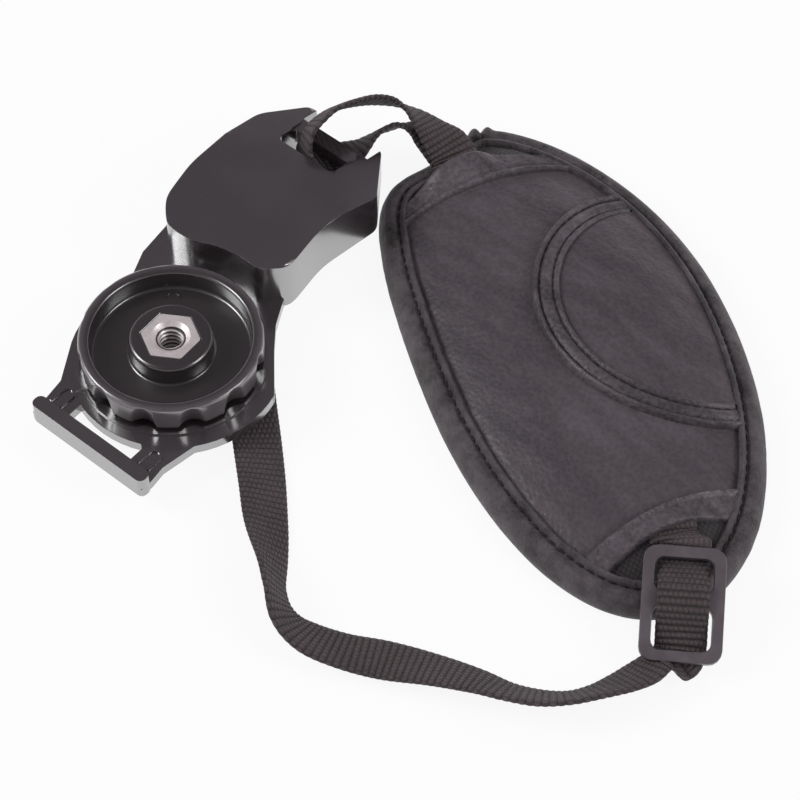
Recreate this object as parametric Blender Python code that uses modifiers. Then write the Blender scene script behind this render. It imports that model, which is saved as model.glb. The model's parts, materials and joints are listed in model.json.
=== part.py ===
"""Camera hand grip strap: tripod plate with a thumb knob, webbing and a padded leather hand rest.

The object lies on a table as it was photographed. Every place is measured from the axis of the
tripod screw, +X along the foot bar and +Y from the foot towards the strap block, in metres.
"""
import math

import bmesh
import bpy
from mathutils import Matrix, Vector

MM = 0.001
FIT_GAP = 0.3 * MM          # left between pieces that touch
OVERCUT = 1.0 * MM          # how far a cutter stands past the face it opens
JOIN_STEP = 0.4 * MM        # joined pieces start at unlike depths, then share one cut

# Base plate, measured up from its underside
WEB_THICKNESS = 2.4 * MM
BODY_RADIUS = 23.0 * MM
BODY_SHIFT = 1.0 * MM       # the round body sits a little off the screw axis
TRACK_RADIUS = 20.2 * MM
TRACK_WIDTH = 0.7 * MM
TRACK_HEIGHT = 0.5 * MM
BLOCK_HEIGHT = 13.0 * MM
BLOCK_LEFT = -27.2 * MM
BLOCK_WAIST = 6.8 * MM
BLOCK_FLARE = 9.2 * MM
BLOCK_BACK = 20.2 * MM      # nearest point of the wall that faces the knob
BLOCK_END = 69.0 * MM
BLOCK_EDGE_ROUND = 0.7 * MM
KNOB_HOLLOW_RADIUS = 23.6 * MM
CREASE_Y = 47.5 * MM
CREASE_SLOPE = 14.0         # degrees that the top falls towards the strap end
STRAP_SLOT_X = (-18.6 * MM, -2.8 * MM)
STRAP_SLOT_Y = (55.0 * MM, 61.0 * MM)
STRAP_BAR_WIDTH = 3.6 * MM
STRAP_BAR_UNDERSIDE = 5.0 * MM
STRAP_BAR_SINK = 0.8 * MM   # the bar's top lies below the block's top
END_RECESS_X = (-19.4 * MM, -0.8 * MM)
FOOT_BAR_X = (-13.0 * MM, 18.6 * MM)
FOOT_BAR_Y = (-29.5 * MM, -26.3 * MM)
FOOT_BAR_HEIGHT = 5.4 * MM
FOOT_BAR_END_ROUND = 1.4 * MM
FOOT_SLOT_X = (-6.3 * MM, 11.2 * MM)
FOOT_SLOT_BACK = -21.6 * MM
FOOT_RIM_CENTRES = (-10.3 * MM, 14.6 * MM)
FOOT_RIM_RADIUS = 1.7 * MM
FOOT_RIM_WIDTH = 0.6 * MM
FOOT_RIM_HEIGHT = 0.5 * MM
FOOT_RIM_Y = (-24.9 * MM, -21.4 * MM)

# Rubber pad on the side that meets the camera
PAD_RING_RADII = (6.8 * MM, 18.6 * MM)
PAD_RING_RECESS = 0.6 * MM
PAD_RING_PROUD = 0.8 * MM
PAD_RING_RIBS = 4
PAD_RING_GROOVE = 0.4 * MM

# Tripod screw, retaining clip and washer
STUD_RADIUS = 3.175 * MM
STUD_REACH = 5.0 * MM       # how far the stud stands out below the plate's underside
STUD_TIP_CHAMFER = 0.6 * MM
STUD_GROOVE_RADIUS = 2.5 * MM
SCREW_BORE_RADIUS = 3.55 * MM
HEX_ACROSS_FLATS = 11.1 * MM
HEX_DEPTH = 4.0 * MM
HEX_TURN = -8.0 + 40.0      # degrees from +X of one corner
SHANK_RADIUS = 4.2 * MM
SOCKET_DEPTH = 5.4 * MM
SOCKET_MOUTH_RADIUS = 4.1 * MM
CLIP_THICKNESS = 0.7 * MM
CLIP_OUTER_RADIUS = 4.7 * MM
CLIP_OPENING = 70.0         # degrees
CLIP_RECESS_RADIUS = 5.4 * MM
CLIP_RECESS_DEPTH = 1.3 * MM
WASHER_RADIUS = 7.6 * MM
WASHER_THICKNESS = 0.6 * MM

# Knob, measured up from its underside
KNOB_HEIGHT = 6.2 * MM
KNOB_RADIUS = 19.6 * MM
KNOB_WALL = 2.5 * MM
KNOB_FLOOR = 1.3 * MM
KNOB_RIM_ROUND = 0.8 * MM
BOSS_RADIUS = 8.95 * MM
BOSS_ROUND = 1.0 * MM
SCOOP_COUNT = 12
SCOOP_RADIUS = 3.3 * MM
SCOOP_DEPTH = 1.5 * MM
SCOOP_LEAN = 16.0           # degrees, so that a scoop bites deeper at the foot of the skirt
SCOOP_START = 15.0 + 40.0   # degrees from +X of the first scoop

# Hand rest, in its own frame: +X runs from the loop end to the slider end
REST_CENTRE = (62.5 * MM, 59.4 * MM)
REST_TURN = -32.5
REST_HALF_LENGTH = 68.2 * MM
REST_HALF_WIDTH = 34.7 * MM
REST_SQUARENESS = 2.07
LOOP_END_BEND = 9.5 * MM    # sideways shift of each end
SLIDER_END_BEND = 2.4 * MM
END_FLAT_DEPTH = 0.13       # share by which the outline is drawn in where the loop is sewn on
END_FLAT_AT = 3.375         # radians round the outline
END_FLAT_SPREAD = 0.35
REST_CROWN = 9.0 * MM
BINDING_SHEET = 0.8 * MM
BINDING_WIDTH = 6.0 * MM
LINING_THICKNESS = 0.6 * MM
FOAM_EDGE = 0.4 * MM
LEATHER = 0.6 * MM
PANEL_CENTRE = (-1.8 * MM, 25.7 * MM)
PANEL_RADIUS = 28.0 * MM
PANEL_TRIM_WIDTH = 5.8 * MM
TOP_BAND_X = (-54.2 * MM, -46.6 * MM)
TOP_BAND_CURVES = (15.0, 6.5)       # per metre: how fast each edge of a band bends
TOP_BAND_SLANT = -0.08
BOTTOM_BAND_X = (46.4 * MM, 51.8 * MM)
BOTTOM_BAND_CURVES = (8.5, 14.0)
BOTTOM_BAND_SLANT = -0.18

# Webbing and slider
WEBBING_WIDTH = 10.5 * MM
LOOP_Y = -9.7 * MM          # where the loop and the tail enter the pad, across it
TAIL_Y = 1.7 * MM
WEBBING_THICKNESS = 1.3 * MM
TABLE_CLEARANCE = 0.1 * MM
SLIDER_CENTRE = (119.9 * MM, 19.3 * MM, 8.2 * MM)
SLIDER_ACROSS = (0.819, 0.574, 0.0)
SLIDER_ALONG = (-0.5415, 0.7555, 0.369)
SLIDER_SIZE = (16.6 * MM, 23.4 * MM)
SLIDER_THICKNESS = 2.0 * MM
SLIDER_BAR = 2.3 * MM
SLIDER_CENTRE_BAR = 3.0 * MM
SLIDER_CENTRE_BAR_AT = 1.0 * MM
SLIDER_CORNER = 2.8 * MM
SLIDER_EDGE_ROUND = 0.4 * MM

ROUND_STEPS = 56
KNOB_STEPS = 60
REST_STEPS = 48
RIBBON_STEPS = 4            # sections between two route points

# Heights that follow from the sizes above
KNOB_FOOT = WEB_THICKNESS + FIT_GAP + WASHER_THICKNESS + FIT_GAP
KNOB_TOP = KNOB_FOOT + KNOB_HEIGHT
LINING_FOOT = BINDING_SHEET + FIT_GAP
FOAM_FOOT = LINING_FOOT + LINING_THICKNESS + FIT_GAP
FACE_FOOT = FOAM_FOOT + FOAM_EDGE + FIT_GAP
FACE_TOP = FACE_FOOT + LEATHER
BINDING_TOP = FACE_TOP + FIT_GAP + BINDING_SHEET


# Scene, materials and modifiers

def clear_scene():
    for existing in list(bpy.data.objects):
        bpy.data.objects.remove(existing, do_unlink=True)


def make_collection(name):
    collection = bpy.data.collections.new(name)
    bpy.context.scene.collection.children.link(collection)
    return collection


def make_material(name, colour, roughness, metallic=0.0):
    material = bpy.data.materials.new(name)
    material.use_nodes = True
    shader = material.node_tree.nodes["Principled BSDF"]
    shader.inputs["Base Color"].default_value = (*colour, 1.0)
    shader.inputs["Roughness"].default_value = roughness
    shader.inputs["Metallic"].default_value = metallic
    return material


def add_object(name, mesh, collection):
    piece = bpy.data.objects.new(name, mesh)
    collection.objects.link(piece)
    return piece


def finish_piece(piece, material, parent, smooth_angle=35.0):
    piece.data.materials.clear()
    piece.data.materials.append(material)
    piece.data.shade_smooth()
    piece.data.set_sharp_from_angle(angle=math.radians(smooth_angle))
    piece.parent = parent


def make_empty(name, collection, parent=None, location=(0, 0, 0), rotation=None):
    empty = bpy.data.objects.new(name, None)
    collection.objects.link(empty)
    empty.parent = parent
    empty.location = location
    if rotation is not None:
        empty.rotation_euler = rotation
    return empty


def evaluated_mesh(piece, merge=0.000001):
    """Return a plain mesh of the object as its modifiers leave it, with doubled points merged."""
    depsgraph = bpy.context.evaluated_depsgraph_get()
    depsgraph.update()
    mesh = bpy.data.meshes.new_from_object(piece.evaluated_get(depsgraph))
    shape = bmesh.new()
    shape.from_mesh(mesh)
    bmesh.ops.remove_doubles(shape, verts=shape.verts, dist=merge)
    bmesh.ops.recalc_face_normals(shape, faces=shape.faces)
    shape.to_mesh(mesh)
    shape.free()
    return mesh


def apply_modifiers(piece):
    mesh = evaluated_mesh(piece)
    piece.modifiers.clear()
    piece.data = mesh


def add_bevel(piece, width, segments, angle=50.0):
    bevel = piece.modifiers.new("rounded edges", "BEVEL")
    bevel.width = width
    bevel.segments = segments
    bevel.limit_method = "ANGLE"
    bevel.angle_limit = math.radians(angle)


def combine(piece, other, operation, cutters):
    """Join or cut with a Boolean and file the second object with the cutters."""
    modifier = piece.modifiers.new(operation.lower(), "BOOLEAN")
    modifier.operation = operation
    modifier.solver = "EXACT"
    modifier.object = other
    for owner in list(other.users_collection):
        owner.objects.unlink(other)
    cutters.objects.link(other)
    other.hide_render = True
    other.display_type = "WIRE"


# Shapes

def flat_solid(name, outlines, bottom, top, collection):
    """Extrude closed outlines between two heights; an outline inside another is a hole."""
    curve = bpy.data.curves.new(name, "CURVE")
    curve.dimensions = "2D"
    curve.fill_mode = "BOTH"
    curve.extrude = (top - bottom) / 2
    for outline in outlines:
        spline = curve.splines.new("POLY")
        spline.points.add(len(outline) - 1)
        for point, (x, y) in zip(spline.points, outline):
            point.co = (x, y, 0.0, 1.0)
        spline.use_cyclic_u = True
    guide = add_object(name + " outline", curve, collection)
    mesh = evaluated_mesh(guide)
    mesh.transform(Matrix.Translation((0, 0, (top + bottom) / 2)))
    bpy.data.objects.remove(guide, do_unlink=True)
    return add_object(name, mesh, collection)


def turned_solid(name, profile, steps, collection):
    """Spin a profile of (radius, height) points, given top to bottom down its outer side."""
    shape = bmesh.new()
    points = [shape.verts.new((radius, 0.0, height)) for radius, height in profile]
    for first, second in zip(points, points[1:]):
        shape.edges.new((first, second))
    if profile[0][0] > 0.0:
        shape.edges.new((points[-1], points[0]))
    mesh = bpy.data.meshes.new(name)
    shape.to_mesh(mesh)
    shape.free()
    piece = add_object(name, mesh, collection)
    screw = piece.modifiers.new("turn", "SCREW")
    screw.steps = steps
    screw.render_steps = steps
    screw.use_merge_vertices = True
    screw.merge_threshold = 0.00001
    apply_modifiers(piece)
    return piece


def cylinder(name, radius, bottom, top, sides, collection, turn=0.0):
    shape = bmesh.new()
    place = Matrix.Translation((0, 0, (top + bottom) / 2)) @ Matrix.Rotation(turn, 4, "Z")
    bmesh.ops.create_cone(shape, cap_ends=True, segments=sides, radius1=radius, radius2=radius,
                          depth=top - bottom, matrix=place)
    mesh = bpy.data.meshes.new(name)
    shape.to_mesh(mesh)
    shape.free()
    return add_object(name, mesh, collection)


def box(name, low, high, collection):
    shape = bmesh.new()
    bmesh.ops.create_cube(shape, size=1.0)
    centre = [(a + b) / 2 for a, b in zip(low, high)]
    size = [b - a for a, b in zip(low, high)]
    bmesh.ops.scale(shape, vec=size, verts=shape.verts)
    bmesh.ops.translate(shape, vec=centre, verts=shape.verts)
    mesh = bpy.data.meshes.new(name)
    shape.to_mesh(mesh)
    shape.free()
    return add_object(name, mesh, collection)


def arc(centre, radius, start, end, count):
    """Points on an arc, angles in degrees, both ends included."""
    points = []
    for step in range(count + 1):
        angle = math.radians(start + (end - start) * step / count)
        points.append((centre[0] + radius * math.cos(angle), centre[1] + radius * math.sin(angle)))
    return points


def rounded_polygon(corners, steps=5):
    """Round each corner (x, y, radius) of a polygon with an arc tangent to both of its sides."""
    points = []
    count = len(corners)
    for index, (x, y, radius) in enumerate(corners):
        here = Vector((x, y))
        before = (Vector(corners[index - 1][:2]) - here).normalized()
        after = (Vector(corners[(index + 1) % count][:2]) - here).normalized()
        half = before.angle(after) / 2
        if radius <= 0.0 or half > math.radians(89.5):
            points.append((x, y))
            continue
        bisector = (before + after).normalized()
        centre = here + bisector * (radius / math.sin(half))
        start = here + before * (radius / math.tan(half)) - centre
        sweep = start.angle_signed(here + after * (radius / math.tan(half)) - centre)
        for step in range(steps + 1):
            turn = Matrix.Rotation(-sweep * step / steps, 2)
            points.append(tuple(centre + turn @ start))
    return points


def smooth_path(points, steps):
    """Catmull-Rom curve through vectors of any length, as a list of tuples."""
    padded = [points[0]] + list(points) + [points[-1]]
    path = []
    for index in range(1, len(padded) - 2):
        group = padded[index - 1:index + 3]
        for step in range(steps):
            path.append(catmull(group, step / steps))
    path.append(tuple(points[-1]))
    return path


def catmull(group, t):
    result = []
    for a, b, c, d in zip(*group):
        result.append(0.5 * (2 * b + (c - a) * t + (2 * a - 5 * b + 4 * c - d) * t * t
                             + (3 * b - a - 3 * c + d) * t ** 3))
    return tuple(result)


def loft(name, sections, collection, closed=False):
    """Skin a row of equal-length closed sections; the ends get a face unless the row is closed."""
    shape = bmesh.new()
    rings = [[shape.verts.new(point) for point in section] for section in sections]
    pairs = list(zip(rings, rings[1:]))
    if closed:
        pairs.append((rings[-1], rings[0]))
    size = len(rings[0])
    for first, second in pairs:
        for index in range(size):
            following = (index + 1) % size
            shape.faces.new((first[index], first[following], second[following], second[index]))
    if not closed:
        shape.faces.new(rings[0])
        shape.faces.new(list(reversed(rings[-1])))
    bmesh.ops.recalc_face_normals(shape, faces=shape.faces)
    mesh = bpy.data.meshes.new(name)
    shape.to_mesh(mesh)
    shape.free()
    return add_object(name, mesh, collection)


def ribbon(name, route, collection):
    """Flat webbing along a route of (point, width direction) pairs, lifted where it would sink
    into the table."""
    stations = [tuple(point) + tuple(across) for point, across in route]
    path = smooth_path(stations, RIBBON_STEPS)
    centres = [Vector(station[:3]) for station in path]
    sections = []
    for index, station in enumerate(path):
        ahead = centres[min(index + 1, len(path) - 1)]
        behind = centres[max(index - 1, 0)]
        tangent = (ahead - behind).normalized()
        across = Vector(station[3:])
        across = (across - tangent * across.dot(tangent)).normalized()
        up = tangent.cross(across)
        half_width = across * WEBBING_WIDTH / 2
        half_thickness = up * WEBBING_THICKNESS / 2
        corners = [centres[index] - half_width - half_thickness,
                   centres[index] + half_width - half_thickness,
                   centres[index] + half_width + half_thickness,
                   centres[index] - half_width + half_thickness]
        sunk = TABLE_CLEARANCE - min(corner.z for corner in corners)
        raised = Vector((0.0, 0.0, max(0.0, sunk)))
        sections.append([corner + raised for corner in corners])
    return loft(name, sections, collection)


# Base plate

def web_outline():
    """The flat of the plate: foot, round body and neck, counter-clockwise."""
    centre = (BODY_SHIFT, 0.0)
    foot = [(FOOT_BAR_X[0] + FIT_GAP, FOOT_BAR_Y[0] + FIT_GAP),
            (FOOT_BAR_X[1] - FIT_GAP, FOOT_BAR_Y[0] + FIT_GAP),
            (FOOT_BAR_X[1] - FIT_GAP, FOOT_BAR_Y[1]),
            (FOOT_BAR_X[1] - 0.8 * MM, FOOT_BAR_Y[1] + 4.0 * MM)]
    right = arc(centre, BODY_RADIUS, -38.0, 16.0, 9)
    neck = [(BLOCK_WAIST + 8.6 * MM, 15.0 * MM), (BLOCK_WAIST + 4.2 * MM, 20.5 * MM),
            (BLOCK_WAIST + 1.4 * MM, 26.0 * MM), (BLOCK_WAIST - 2.0 * MM, 34.0 * MM),
            (BLOCK_LEFT + 4.0 * MM, 34.0 * MM), (BLOCK_LEFT + 1.2 * MM, 27.0 * MM),
            (BLOCK_LEFT + 2.6 * MM, 17.0 * MM)]
    left = arc(centre, BODY_RADIUS, 160.0, 214.0, 9)
    heel = [(FOOT_BAR_X[0] - 0.9 * MM, FOOT_BAR_Y[1] + 6.6 * MM),
            (FOOT_BAR_X[0] - 0.2 * MM, FOOT_BAR_Y[1] + 2.0 * MM)]
    return foot + right + neck + left + heel


def block_outline():
    """The raised block, whose near wall is hollowed round the knob, counter-clockwise."""
    hollow = arc((0.0, 0.0), KNOB_HOLLOW_RADIUS, 80.0, 122.0, 8)
    corners = [(BLOCK_LEFT + 8.4 * MM, BLOCK_BACK - 1.0 * MM, 4.0 * MM),
               (BLOCK_LEFT + 2.4 * MM, BLOCK_BACK + 5.2 * MM, 6.0 * MM),
               (BLOCK_LEFT, BLOCK_BACK + 16.0 * MM, 18.0 * MM),
               (BLOCK_LEFT, BLOCK_END - 10.6 * MM, 8.0 * MM),
               (BLOCK_LEFT + 5.8 * MM, BLOCK_END, 2.4 * MM),
               (BLOCK_FLARE - 9.6 * MM, BLOCK_END, 2.0 * MM),
               (BLOCK_FLARE, BLOCK_END - 13.0 * MM, 4.0 * MM),
               (BLOCK_WAIST, BLOCK_BACK + 20.0 * MM, 18.0 * MM),
               (BLOCK_WAIST + 2.0 * MM, BLOCK_BACK + 6.6 * MM, 2.2 * MM)]
    return list(reversed(rounded_polygon(corners) + hollow))


def foot_rim_outline(centre_x):
    outer = arc((centre_x, FOOT_RIM_Y[1]), FOOT_RIM_RADIUS, 0.0, 180.0, 10)
    inner = arc((centre_x, FOOT_RIM_Y[1]), FOOT_RIM_RADIUS - FOOT_RIM_WIDTH, 180.0, 0.0, 10)
    left = centre_x - FOOT_RIM_RADIUS
    right = centre_x + FOOT_RIM_RADIUS
    return (outer + [(left, FOOT_RIM_Y[0]), (left + FOOT_RIM_WIDTH, FOOT_RIM_Y[0])]
            + inner + [(right - FOOT_RIM_WIDTH, FOOT_RIM_Y[0]), (right, FOOT_RIM_Y[0])])


def top_height(y):
    """Height of the block's top at a place along it, which falls past the crease."""
    return BLOCK_HEIGHT - max(0.0, y - CREASE_Y) * math.tan(math.radians(CREASE_SLOPE))


def make_block(parts, cutters):
    block = flat_solid("block", [block_outline()], -2 * JOIN_STEP, BLOCK_HEIGHT, parts)
    reach = BLOCK_END + 10 * MM
    wedge_side = [(CREASE_Y, BLOCK_HEIGHT), (reach, top_height(reach)), (reach, BLOCK_HEIGHT * 2),
                  (CREASE_Y, BLOCK_HEIGHT * 2)]
    sections = [[(x, y, z) for y, z in wedge_side] for x in (-60 * MM, 60 * MM)]
    combine(block, loft("slope cutter", sections, cutters), "DIFFERENCE", cutters)
    add_bevel(block, BLOCK_EDGE_ROUND, 2)
    apply_modifiers(block)

    bar_y = (STRAP_SLOT_Y[1], STRAP_SLOT_Y[1] + STRAP_BAR_WIDTH)
    bar_top = top_height(bar_y[0]) - STRAP_BAR_SINK
    slot = rounded_polygon([(STRAP_SLOT_X[0], STRAP_SLOT_Y[0], 1.4 * MM),
                            (STRAP_SLOT_X[1], STRAP_SLOT_Y[0], 1.4 * MM),
                            (STRAP_SLOT_X[1], STRAP_SLOT_Y[1], 0.6 * MM),
                            (STRAP_SLOT_X[0], STRAP_SLOT_Y[1], 0.6 * MM)])
    slot_cutter = flat_solid("strap slot cutter", [slot], -2 * OVERCUT, BLOCK_HEIGHT + OVERCUT, cutters)
    combine(block, slot_cutter, "DIFFERENCE", cutters)
    end = BLOCK_END + OVERCUT
    recess = box("end recess cutter", (END_RECESS_X[0], bar_y[1], -2 * OVERCUT),
                 (END_RECESS_X[1], end, BLOCK_HEIGHT), cutters)
    combine(block, recess, "DIFFERENCE", cutters)
    bar_x = (STRAP_SLOT_X[0] - JOIN_STEP, STRAP_SLOT_X[1] + JOIN_STEP)
    below = box("under bar cutter", (bar_x[0], bar_y[0] - OVERCUT, -2 * OVERCUT),
                (bar_x[1], end, STRAP_BAR_UNDERSIDE), cutters)
    combine(block, below, "DIFFERENCE", cutters)
    above = box("over bar cutter", (bar_x[0], bar_y[0] - OVERCUT, bar_top),
                (bar_x[1], end, BLOCK_HEIGHT + OVERCUT), cutters)
    combine(block, above, "DIFFERENCE", cutters)
    apply_modifiers(block)
    return block


def make_foot_slot(cutters):
    """The foot's strap slot: a rectangle whose inner side follows the round body."""
    depth_limit = BODY_RADIUS - 0.2 * MM
    half_angle = 24.0
    body = arc((BODY_SHIFT, 0.0), depth_limit, 270.0 + half_angle, 270.0 - half_angle, 8)
    body = [point for point in body if FOOT_SLOT_X[0] < point[0] < FOOT_SLOT_X[1]]
    outline = ([(FOOT_SLOT_X[0], FOOT_BAR_Y[1]), (FOOT_SLOT_X[1], FOOT_BAR_Y[1]),
                (FOOT_SLOT_X[1], FOOT_SLOT_BACK)] + body + [(FOOT_SLOT_X[0], FOOT_SLOT_BACK)])
    return flat_solid("foot slot cutter", [outline], -OVERCUT, WEB_THICKNESS + OVERCUT, cutters)


def make_base_plate(parts, cutters, parent, material):
    plate = flat_solid("base_plate", [web_outline()], -JOIN_STEP, WEB_THICKNESS, parts)
    combine(plate, make_block(parts, cutters), "UNION", cutters)

    end = FOOT_BAR_END_ROUND
    bar = flat_solid("foot bar", [rounded_polygon([(FOOT_BAR_X[0], FOOT_BAR_Y[0], end),
                                                   (FOOT_BAR_X[1], FOOT_BAR_Y[0], end),
                                                   (FOOT_BAR_X[1], FOOT_BAR_Y[1], end),
                                                   (FOOT_BAR_X[0], FOOT_BAR_Y[1], end)])],
                     -3 * JOIN_STEP, FOOT_BAR_HEIGHT, parts)
    combine(plate, bar, "UNION", cutters)

    sink = JOIN_STEP
    track_top = WEB_THICKNESS + TRACK_HEIGHT
    inner = TRACK_RADIUS - TRACK_WIDTH / 2
    outer = TRACK_RADIUS + TRACK_WIDTH / 2
    track = turned_solid("knob track", [(inner, track_top), (outer, track_top),
                                        (outer, WEB_THICKNESS - sink),
                                        (inner, WEB_THICKNESS - sink)], ROUND_STEPS, parts)
    combine(plate, track, "UNION", cutters)
    for index, centre_x in enumerate(FOOT_RIM_CENTRES):
        rim = flat_solid("foot rim %d" % index, [foot_rim_outline(centre_x)],
                         WEB_THICKNESS - sink, WEB_THICKNESS + FOOT_RIM_HEIGHT, parts)
        combine(plate, rim, "UNION", cutters)

    side = 2 * BLOCK_END
    under = box("underside cutter", (-side, -side, -4 * JOIN_STEP), (side, side, 0.0), cutters)
    combine(plate, under, "DIFFERENCE", cutters)
    combine(plate, make_foot_slot(cutters), "DIFFERENCE", cutters)
    bore = cylinder("screw bore cutter", SCREW_BORE_RADIUS, -OVERCUT, WEB_THICKNESS + OVERCUT,
                    32, cutters)
    combine(plate, bore, "DIFFERENCE", cutters)
    clip_room = cylinder("clip recess cutter", CLIP_RECESS_RADIUS, -OVERCUT, CLIP_RECESS_DEPTH,
                         32, cutters)
    combine(plate, clip_room, "DIFFERENCE", cutters)
    low, high = PAD_RING_RADII
    seat = turned_solid("rubber seat cutter",
                        [(low - FIT_GAP, PAD_RING_RECESS), (high + FIT_GAP, PAD_RING_RECESS),
                         (high + FIT_GAP, -OVERCUT), (low - FIT_GAP, -OVERCUT)],
                        ROUND_STEPS, cutters)
    combine(plate, seat, "DIFFERENCE", cutters)
    apply_modifiers(plate)
    finish_piece(plate, material, parent)
    return plate


def make_rubber_pad(parts, parent, material):
    """A ring of rubber let into the underside, with grooves between its ribs."""
    low, high = PAD_RING_RADII
    top = PAD_RING_RECESS - FIT_GAP
    foot = -PAD_RING_PROUD
    pitch = (high - low) / (PAD_RING_RIBS + PAD_RING_RIBS - 1)
    profile = [(low, top), (high, top)]
    for rib in range(PAD_RING_RIBS):
        outer = high - 2 * pitch * rib
        profile += [(outer, foot), (outer - pitch, foot)]
        if rib < PAD_RING_RIBS - 1:
            profile += [(outer - pitch, foot + PAD_RING_GROOVE),
                        (outer - 2 * pitch, foot + PAD_RING_GROOVE)]
    pad = turned_solid("rubber_pad", profile, ROUND_STEPS // 2, parts)
    finish_piece(pad, material, parent)


# Knob and tripod screw

def make_knob(parts, cutters, parent, material):
    top = KNOB_HEIGHT
    rim = KNOB_RIM_ROUND
    inner = KNOB_RADIUS - KNOB_WALL
    profile = [(SHANK_RADIUS + FIT_GAP, top), (BOSS_RADIUS - BOSS_ROUND, top),
               (BOSS_RADIUS - 0.3 * BOSS_ROUND, top - 0.3 * BOSS_ROUND),
               (BOSS_RADIUS, top - BOSS_ROUND), (BOSS_RADIUS, KNOB_FLOOR + 0.4 * MM),
               (BOSS_RADIUS + 0.6 * MM, KNOB_FLOOR), (inner - 0.8 * MM, KNOB_FLOOR),
               (inner, KNOB_FLOOR + 0.8 * MM), (inner, top - rim),
               (inner + 0.3 * rim, top - 0.3 * rim), (inner + rim, top),
               (KNOB_RADIUS - rim, top), (KNOB_RADIUS - 0.3 * rim, top - 0.3 * rim),
               (KNOB_RADIUS, top - rim), (KNOB_RADIUS, 0.6 * MM),
               (KNOB_RADIUS - 0.6 * MM, 0.0), (SHANK_RADIUS + FIT_GAP, 0.0)]
    knob = turned_solid("knob", profile, KNOB_STEPS, parts)

    hex_radius = (HEX_ACROSS_FLATS / 2 + FIT_GAP) / math.cos(math.radians(30))
    pocket = cylinder("hex pocket cutter", hex_radius, top - HEX_DEPTH - FIT_GAP, top + OVERCUT, 6,
                      cutters, math.radians(HEX_TURN))
    combine(knob, pocket, "DIFFERENCE", cutters)
    scoop_reach = KNOB_RADIUS + SCOOP_RADIUS - SCOOP_DEPTH
    for index in range(SCOOP_COUNT):
        scoop = cylinder("scoop cutter %02d" % index, SCOOP_RADIUS, -8 * MM, 8 * MM, 16, cutters)
        turn = math.radians(SCOOP_START + index * 360.0 / SCOOP_COUNT)
        scoop.data.transform(Matrix.Rotation(turn, 4, "Z")
                             @ Matrix.Translation((scoop_reach, 0, 0.25 * KNOB_HEIGHT))
                             @ Matrix.Rotation(math.radians(SCOOP_LEAN), 4, "Y"))
        combine(knob, scoop, "DIFFERENCE", cutters)
    apply_modifiers(knob)
    knob.location = (0, 0, KNOB_FOOT)
    finish_piece(knob, material, parent)
    return knob


def make_tripod_screw(parts, cutters, parent, material):
    """Hex head with a female socket above, a shank, and the stud that enters the camera."""
    hex_radius = HEX_ACROSS_FLATS / 2 / math.cos(math.radians(30))
    head = cylinder("tripod_screw", hex_radius, KNOB_TOP - HEX_DEPTH, KNOB_TOP, 6, parts,
                    math.radians(HEX_TURN))
    clip_top = CLIP_RECESS_DEPTH - FIT_GAP
    clip_foot = clip_top - CLIP_THICKNESS
    shank_foot = KNOB_FOOT
    stud = turned_solid("stud", [(0.0, KNOB_TOP - HEX_DEPTH + 0.5 * MM),
                                 (SHANK_RADIUS, KNOB_TOP - HEX_DEPTH + 0.5 * MM),
                                 (SHANK_RADIUS, shank_foot), (STUD_RADIUS, shank_foot),
                                 (STUD_RADIUS, clip_top + FIT_GAP),
                                 (STUD_GROOVE_RADIUS, clip_top + FIT_GAP),
                                 (STUD_GROOVE_RADIUS, clip_foot - FIT_GAP),
                                 (STUD_RADIUS, clip_foot - FIT_GAP),
                                 (STUD_RADIUS, STUD_TIP_CHAMFER - STUD_REACH),
                                 (STUD_RADIUS - STUD_TIP_CHAMFER, -STUD_REACH),
                                 (0.0, -STUD_REACH)], 32, parts)
    combine(head, stud, "UNION", cutters)
    mouth = SOCKET_MOUTH_RADIUS
    chamfer = mouth - STUD_RADIUS
    socket = turned_solid("socket cutter", [(0.0, KNOB_TOP + chamfer), (mouth + chamfer, KNOB_TOP + chamfer),
                                            (STUD_RADIUS, KNOB_TOP - chamfer),
                                            (STUD_RADIUS, KNOB_TOP - SOCKET_DEPTH),
                                            (0.0, KNOB_TOP - SOCKET_DEPTH)], 32, cutters)
    combine(head, socket, "DIFFERENCE", cutters)
    apply_modifiers(head)
    finish_piece(head, material, parent)


def make_retaining_clip(parts, parent, material):
    """A flat open ring snapped into the stud's groove, which keeps the knob on the plate."""
    top = CLIP_RECESS_DEPTH - FIT_GAP
    half = CLIP_OPENING / 2
    inner_radius = STUD_GROOVE_RADIUS + FIT_GAP
    outline = (arc((0, 0), CLIP_OUTER_RADIUS, half, 360.0 - half, 22)
               + arc((0, 0), inner_radius, 360.0 - half, half, 18))
    clip = flat_solid("retaining_clip", [outline], top - CLIP_THICKNESS, top, parts)
    finish_piece(clip, material, parent)


def make_washer(parts, parent, material):
    foot = WEB_THICKNESS + FIT_GAP
    inner = STUD_RADIUS + FIT_GAP
    top = foot + WASHER_THICKNESS
    washer = turned_solid("knob_washer", [(inner, top), (WASHER_RADIUS, top), (WASHER_RADIUS, foot),
                                          (inner, foot)], 32, parts)
    finish_piece(washer, material, parent)


# Hand rest

def rest_bend(x):
    bend = SLIDER_END_BEND if x > 0.0 else LOOP_END_BEND
    return -bend * (x / REST_HALF_LENGTH) ** 2


def rest_edge(angle):
    power = 2.0 / REST_SQUARENESS
    cosine = math.cos(angle)
    sine = math.sin(angle)
    share = 1.0 - END_FLAT_DEPTH * math.exp(-((angle - END_FLAT_AT) / END_FLAT_SPREAD) ** 2)
    x = share * REST_HALF_LENGTH * math.copysign(abs(cosine) ** power, cosine)
    y = share * REST_HALF_WIDTH * math.copysign(abs(sine) ** power, sine)
    return x, y + rest_bend(x)


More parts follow.
